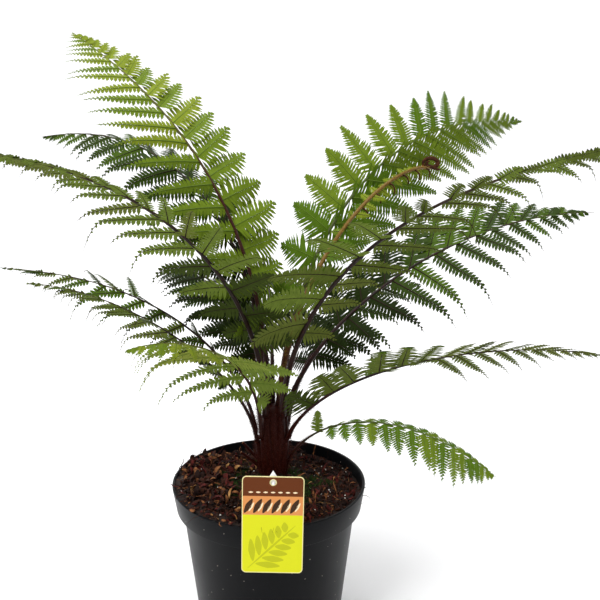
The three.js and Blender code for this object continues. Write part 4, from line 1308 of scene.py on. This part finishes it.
def plate(name, outline, low, high, materials, hole=None):
    """A flat piece of the card's thickness range, with an optional round hole at the origin."""
    shape = bmesh.new()
    rim = [shape.verts.new(on_card(x, y, low)) for x, y in outline]
    edges = [shape.edges.new((rim[i], rim[(i + 1) % len(rim)])) for i in range(len(rim))]
    if hole:
        inner = [shape.verts.new(on_card(hole * math.cos(a), hole * math.sin(a), low))
                 for a in np.linspace(0, 2 * math.pi, 48, endpoint=False)]
        edges += [shape.edges.new((inner[i], inner[(i + 1) % 48])) for i in range(48)]
        bmesh.ops.bridge_loops(shape, edges=edges)
    else:
        shape.faces.new(rim)
    drawn_out(shape, list(shape.faces), on_card(0, 0, high) - on_card(0, 0, low))
    bmesh.ops.recalc_face_normals(shape, faces=shape.faces)
    return object_from(shape, name, *materials, smooth=30)


# %% Card and its print
def ink(name, code, roughness=0.42):
    # offset ink under a clear varnish: flat colour, slight gloss, hardly uneven
    made, shader = new_material(name, Roughness=roughness, Specular_IOR_Level=0.15)
    place = add_node(made, "ShaderNodeTexCoord")
    grain = add_node(made, "ShaderNodeTexNoise", {"Vector": place.outputs["Object"], "Scale": 900})
    solid = linear(code)
    thin = tuple(min(1, c * 1.06) for c in solid[:3]) + (1,)
    colour = add_node(made, "ShaderNodeMix", {"Factor_Float": grain.outputs["Fac"], "A_Color": solid,
                                              "B_Color": thin}, data_type="RGBA")
    made.node_tree.links.new(colour.outputs[2], shader.inputs["Base Color"])
    return made


INKS = {"card": ink("polystyrene_sheet_cream", "#e6dca0"), "brown": ink("ink_brown", "#5e2c08"),
        "tan": ink("ink_tan", "#d08a4e"), "dark": ink("ink_dark_brown", "#3a2410"),
        "cream": ink("ink_cream", "#f0d8b0"),
        "lime": ink("ink_lime", "#cfd118"), "olive": ink("ink_olive_lime", "#b2b514")}
HALF, TOP, FOOT = 33.5, 7, -107
# the two layers of ink, in mm out from the card's back
FIRST_INK, SECOND_INK = (0.8, 0.84), (0.84, 0.88)
card = plate("label_card_sheet", round_box(-HALF, HALF, FOOT, TOP, 5, 12), 0, CARD_THICK, [INKS["card"]],
             hole=CARD_HOLE_R)
keep(card, "label_card", "label_card")
EDGE = 0.9
bands = [
    ("label_lime_field", round_box(-HALF + EDGE, HALF - EDGE, FOOT + EDGE, -38, (4.1, 4.1, 0, 0)), "lime"),
    ("label_tan_band", round_box(-HALF + EDGE, HALF - EDGE, -38, -16, 0), "tan"),
]
for name, outline, colour in bands:
    keep(plate(name, outline, *FIRST_INK, [INKS[colour]]), "label_card", "label_card")
head = round_box(-HALF + EDGE, HALF - EDGE, -16, TOP - EDGE, (0, 0, 4.1, 4.1))
keep(plate("label_brown_head", head, *FIRST_INK, [INKS["brown"]], hole=3.9), "label_card", "label_card")


# %% Generic motifs on the card
def motif(name, outlines, colour):
    """Several flat shapes of one ink, joined into one piece."""
    low, high = SECOND_INK
    shape = bmesh.new()
    for outline in outlines:
        face = shape.faces.new([shape.verts.new(on_card(x, y, low)) for x, y in outline])
        drawn_out(shape, [face], on_card(0, 0, high) - on_card(0, 0, low))
    bmesh.ops.recalc_face_normals(shape, faces=shape.faces)
    keep(object_from(shape, name, INKS[colour], smooth=30), "label_card", "label_card")


def oval(x, y, long, wide, turn, steps=20):
    """A pointed oval, its foot at x, y."""
    a = math.radians(turn)
    points = []
    for k in range(steps):
        t = 2 * math.pi * k / steps
        u = long * (1 - math.cos(t)) / 2
        v = wide / 2 * math.sin(t) * (1 - 0.35 * abs(math.cos(t)))
        points.append((x + u * math.cos(a) - v * math.sin(a), y + u * math.sin(a) + v * math.cos(a)))
    return points


motif("label_band_leaves", [oval(x, -36, 19, 6.5, 62) for x in range(-31, 20, 10)], "dark")
motif("label_band_leaflets", [oval(x + 5, -34, 12, 3, 62) for x in range(-31, 20, 10)], "cream")
motif("label_head_leaves", [oval(x - 2.5, -11.5, 5, 2, 0) for x in range(-24, 25, 8)], "cream")
sprig = [oval(-27, -102, 74, 2.4, 45, 24)]
for k in range(6):
    x, y = -20 + 7 * k, -95 + 7 * k
    sprig += [oval(x - 1, y + 1.8, 27 - 3 * k, 7.6, 96, 24), oval(x + 1.8, y - 1, 27 - 3 * k, 7.6, -6, 24)]
motif("label_sprig", sprig, "olive")


# %% Stake
# white polypropylene strip with a barbed arrow head; its peg holds the card by the hole
def stake():
    shape = bmesh.new()
    corners = [(0, -80), (3.2, -76.8), (3.2, 4), (5.25, 4), (0, 13), (-5.25, 4), (-3.2, 4), (-3.2, -76.8)]
    front = CARD_BACK + STAKE_GAP

    def spot(x, y, back):
        return Vector((HOLE_X + x, front - y * math.sin(LEAN) + back * math.cos(LEAN),
                       HOLE_Z + y * math.cos(LEAN) + back * math.sin(LEAN))) * MM

    face = shape.faces.new([shape.verts.new(spot(x, y, 0)) for x, y in corners])
    drawn_out(shape, [face], spot(0, 0, STAKE_THICK) - spot(0, 0, 0))
    bmesh.ops.recalc_face_normals(shape, faces=shape.faces)
    bmesh.ops.bevel(shape, geom=list(shape.edges), offset=0.25 * MM, segments=2, profile=0.5, affect="EDGES",
                    material=-1)
    turn = Matrix.Rotation(math.radians(90), 4, "X")
    # the peg stands on the hole's lower edge and reaches out in front of the card
    middle = Vector((HOLE_X, front - STAKE_GAP - CARD_THICK - PEG_REACH + PEG_LONG / 2,
                     HOLE_Z - CARD_HOLE_R + PEG_R + 0.6)) * MM
    bmesh.ops.create_cone(shape, segments=20, cap_ends=True, radius1=PEG_R * MM, radius2=PEG_R * MM,
                          depth=PEG_LONG * MM, matrix=Matrix.Translation(middle) @ turn)
    return shape


white_plastic = dry_matter("moulded_polypropylene_white", "#e8e8e6", "#f6f6f4", 90, 0.35)
keep(object_from(stake(), "label_stake_arrow", white_plastic, smooth=35), "stake_plastic", "label_stake")
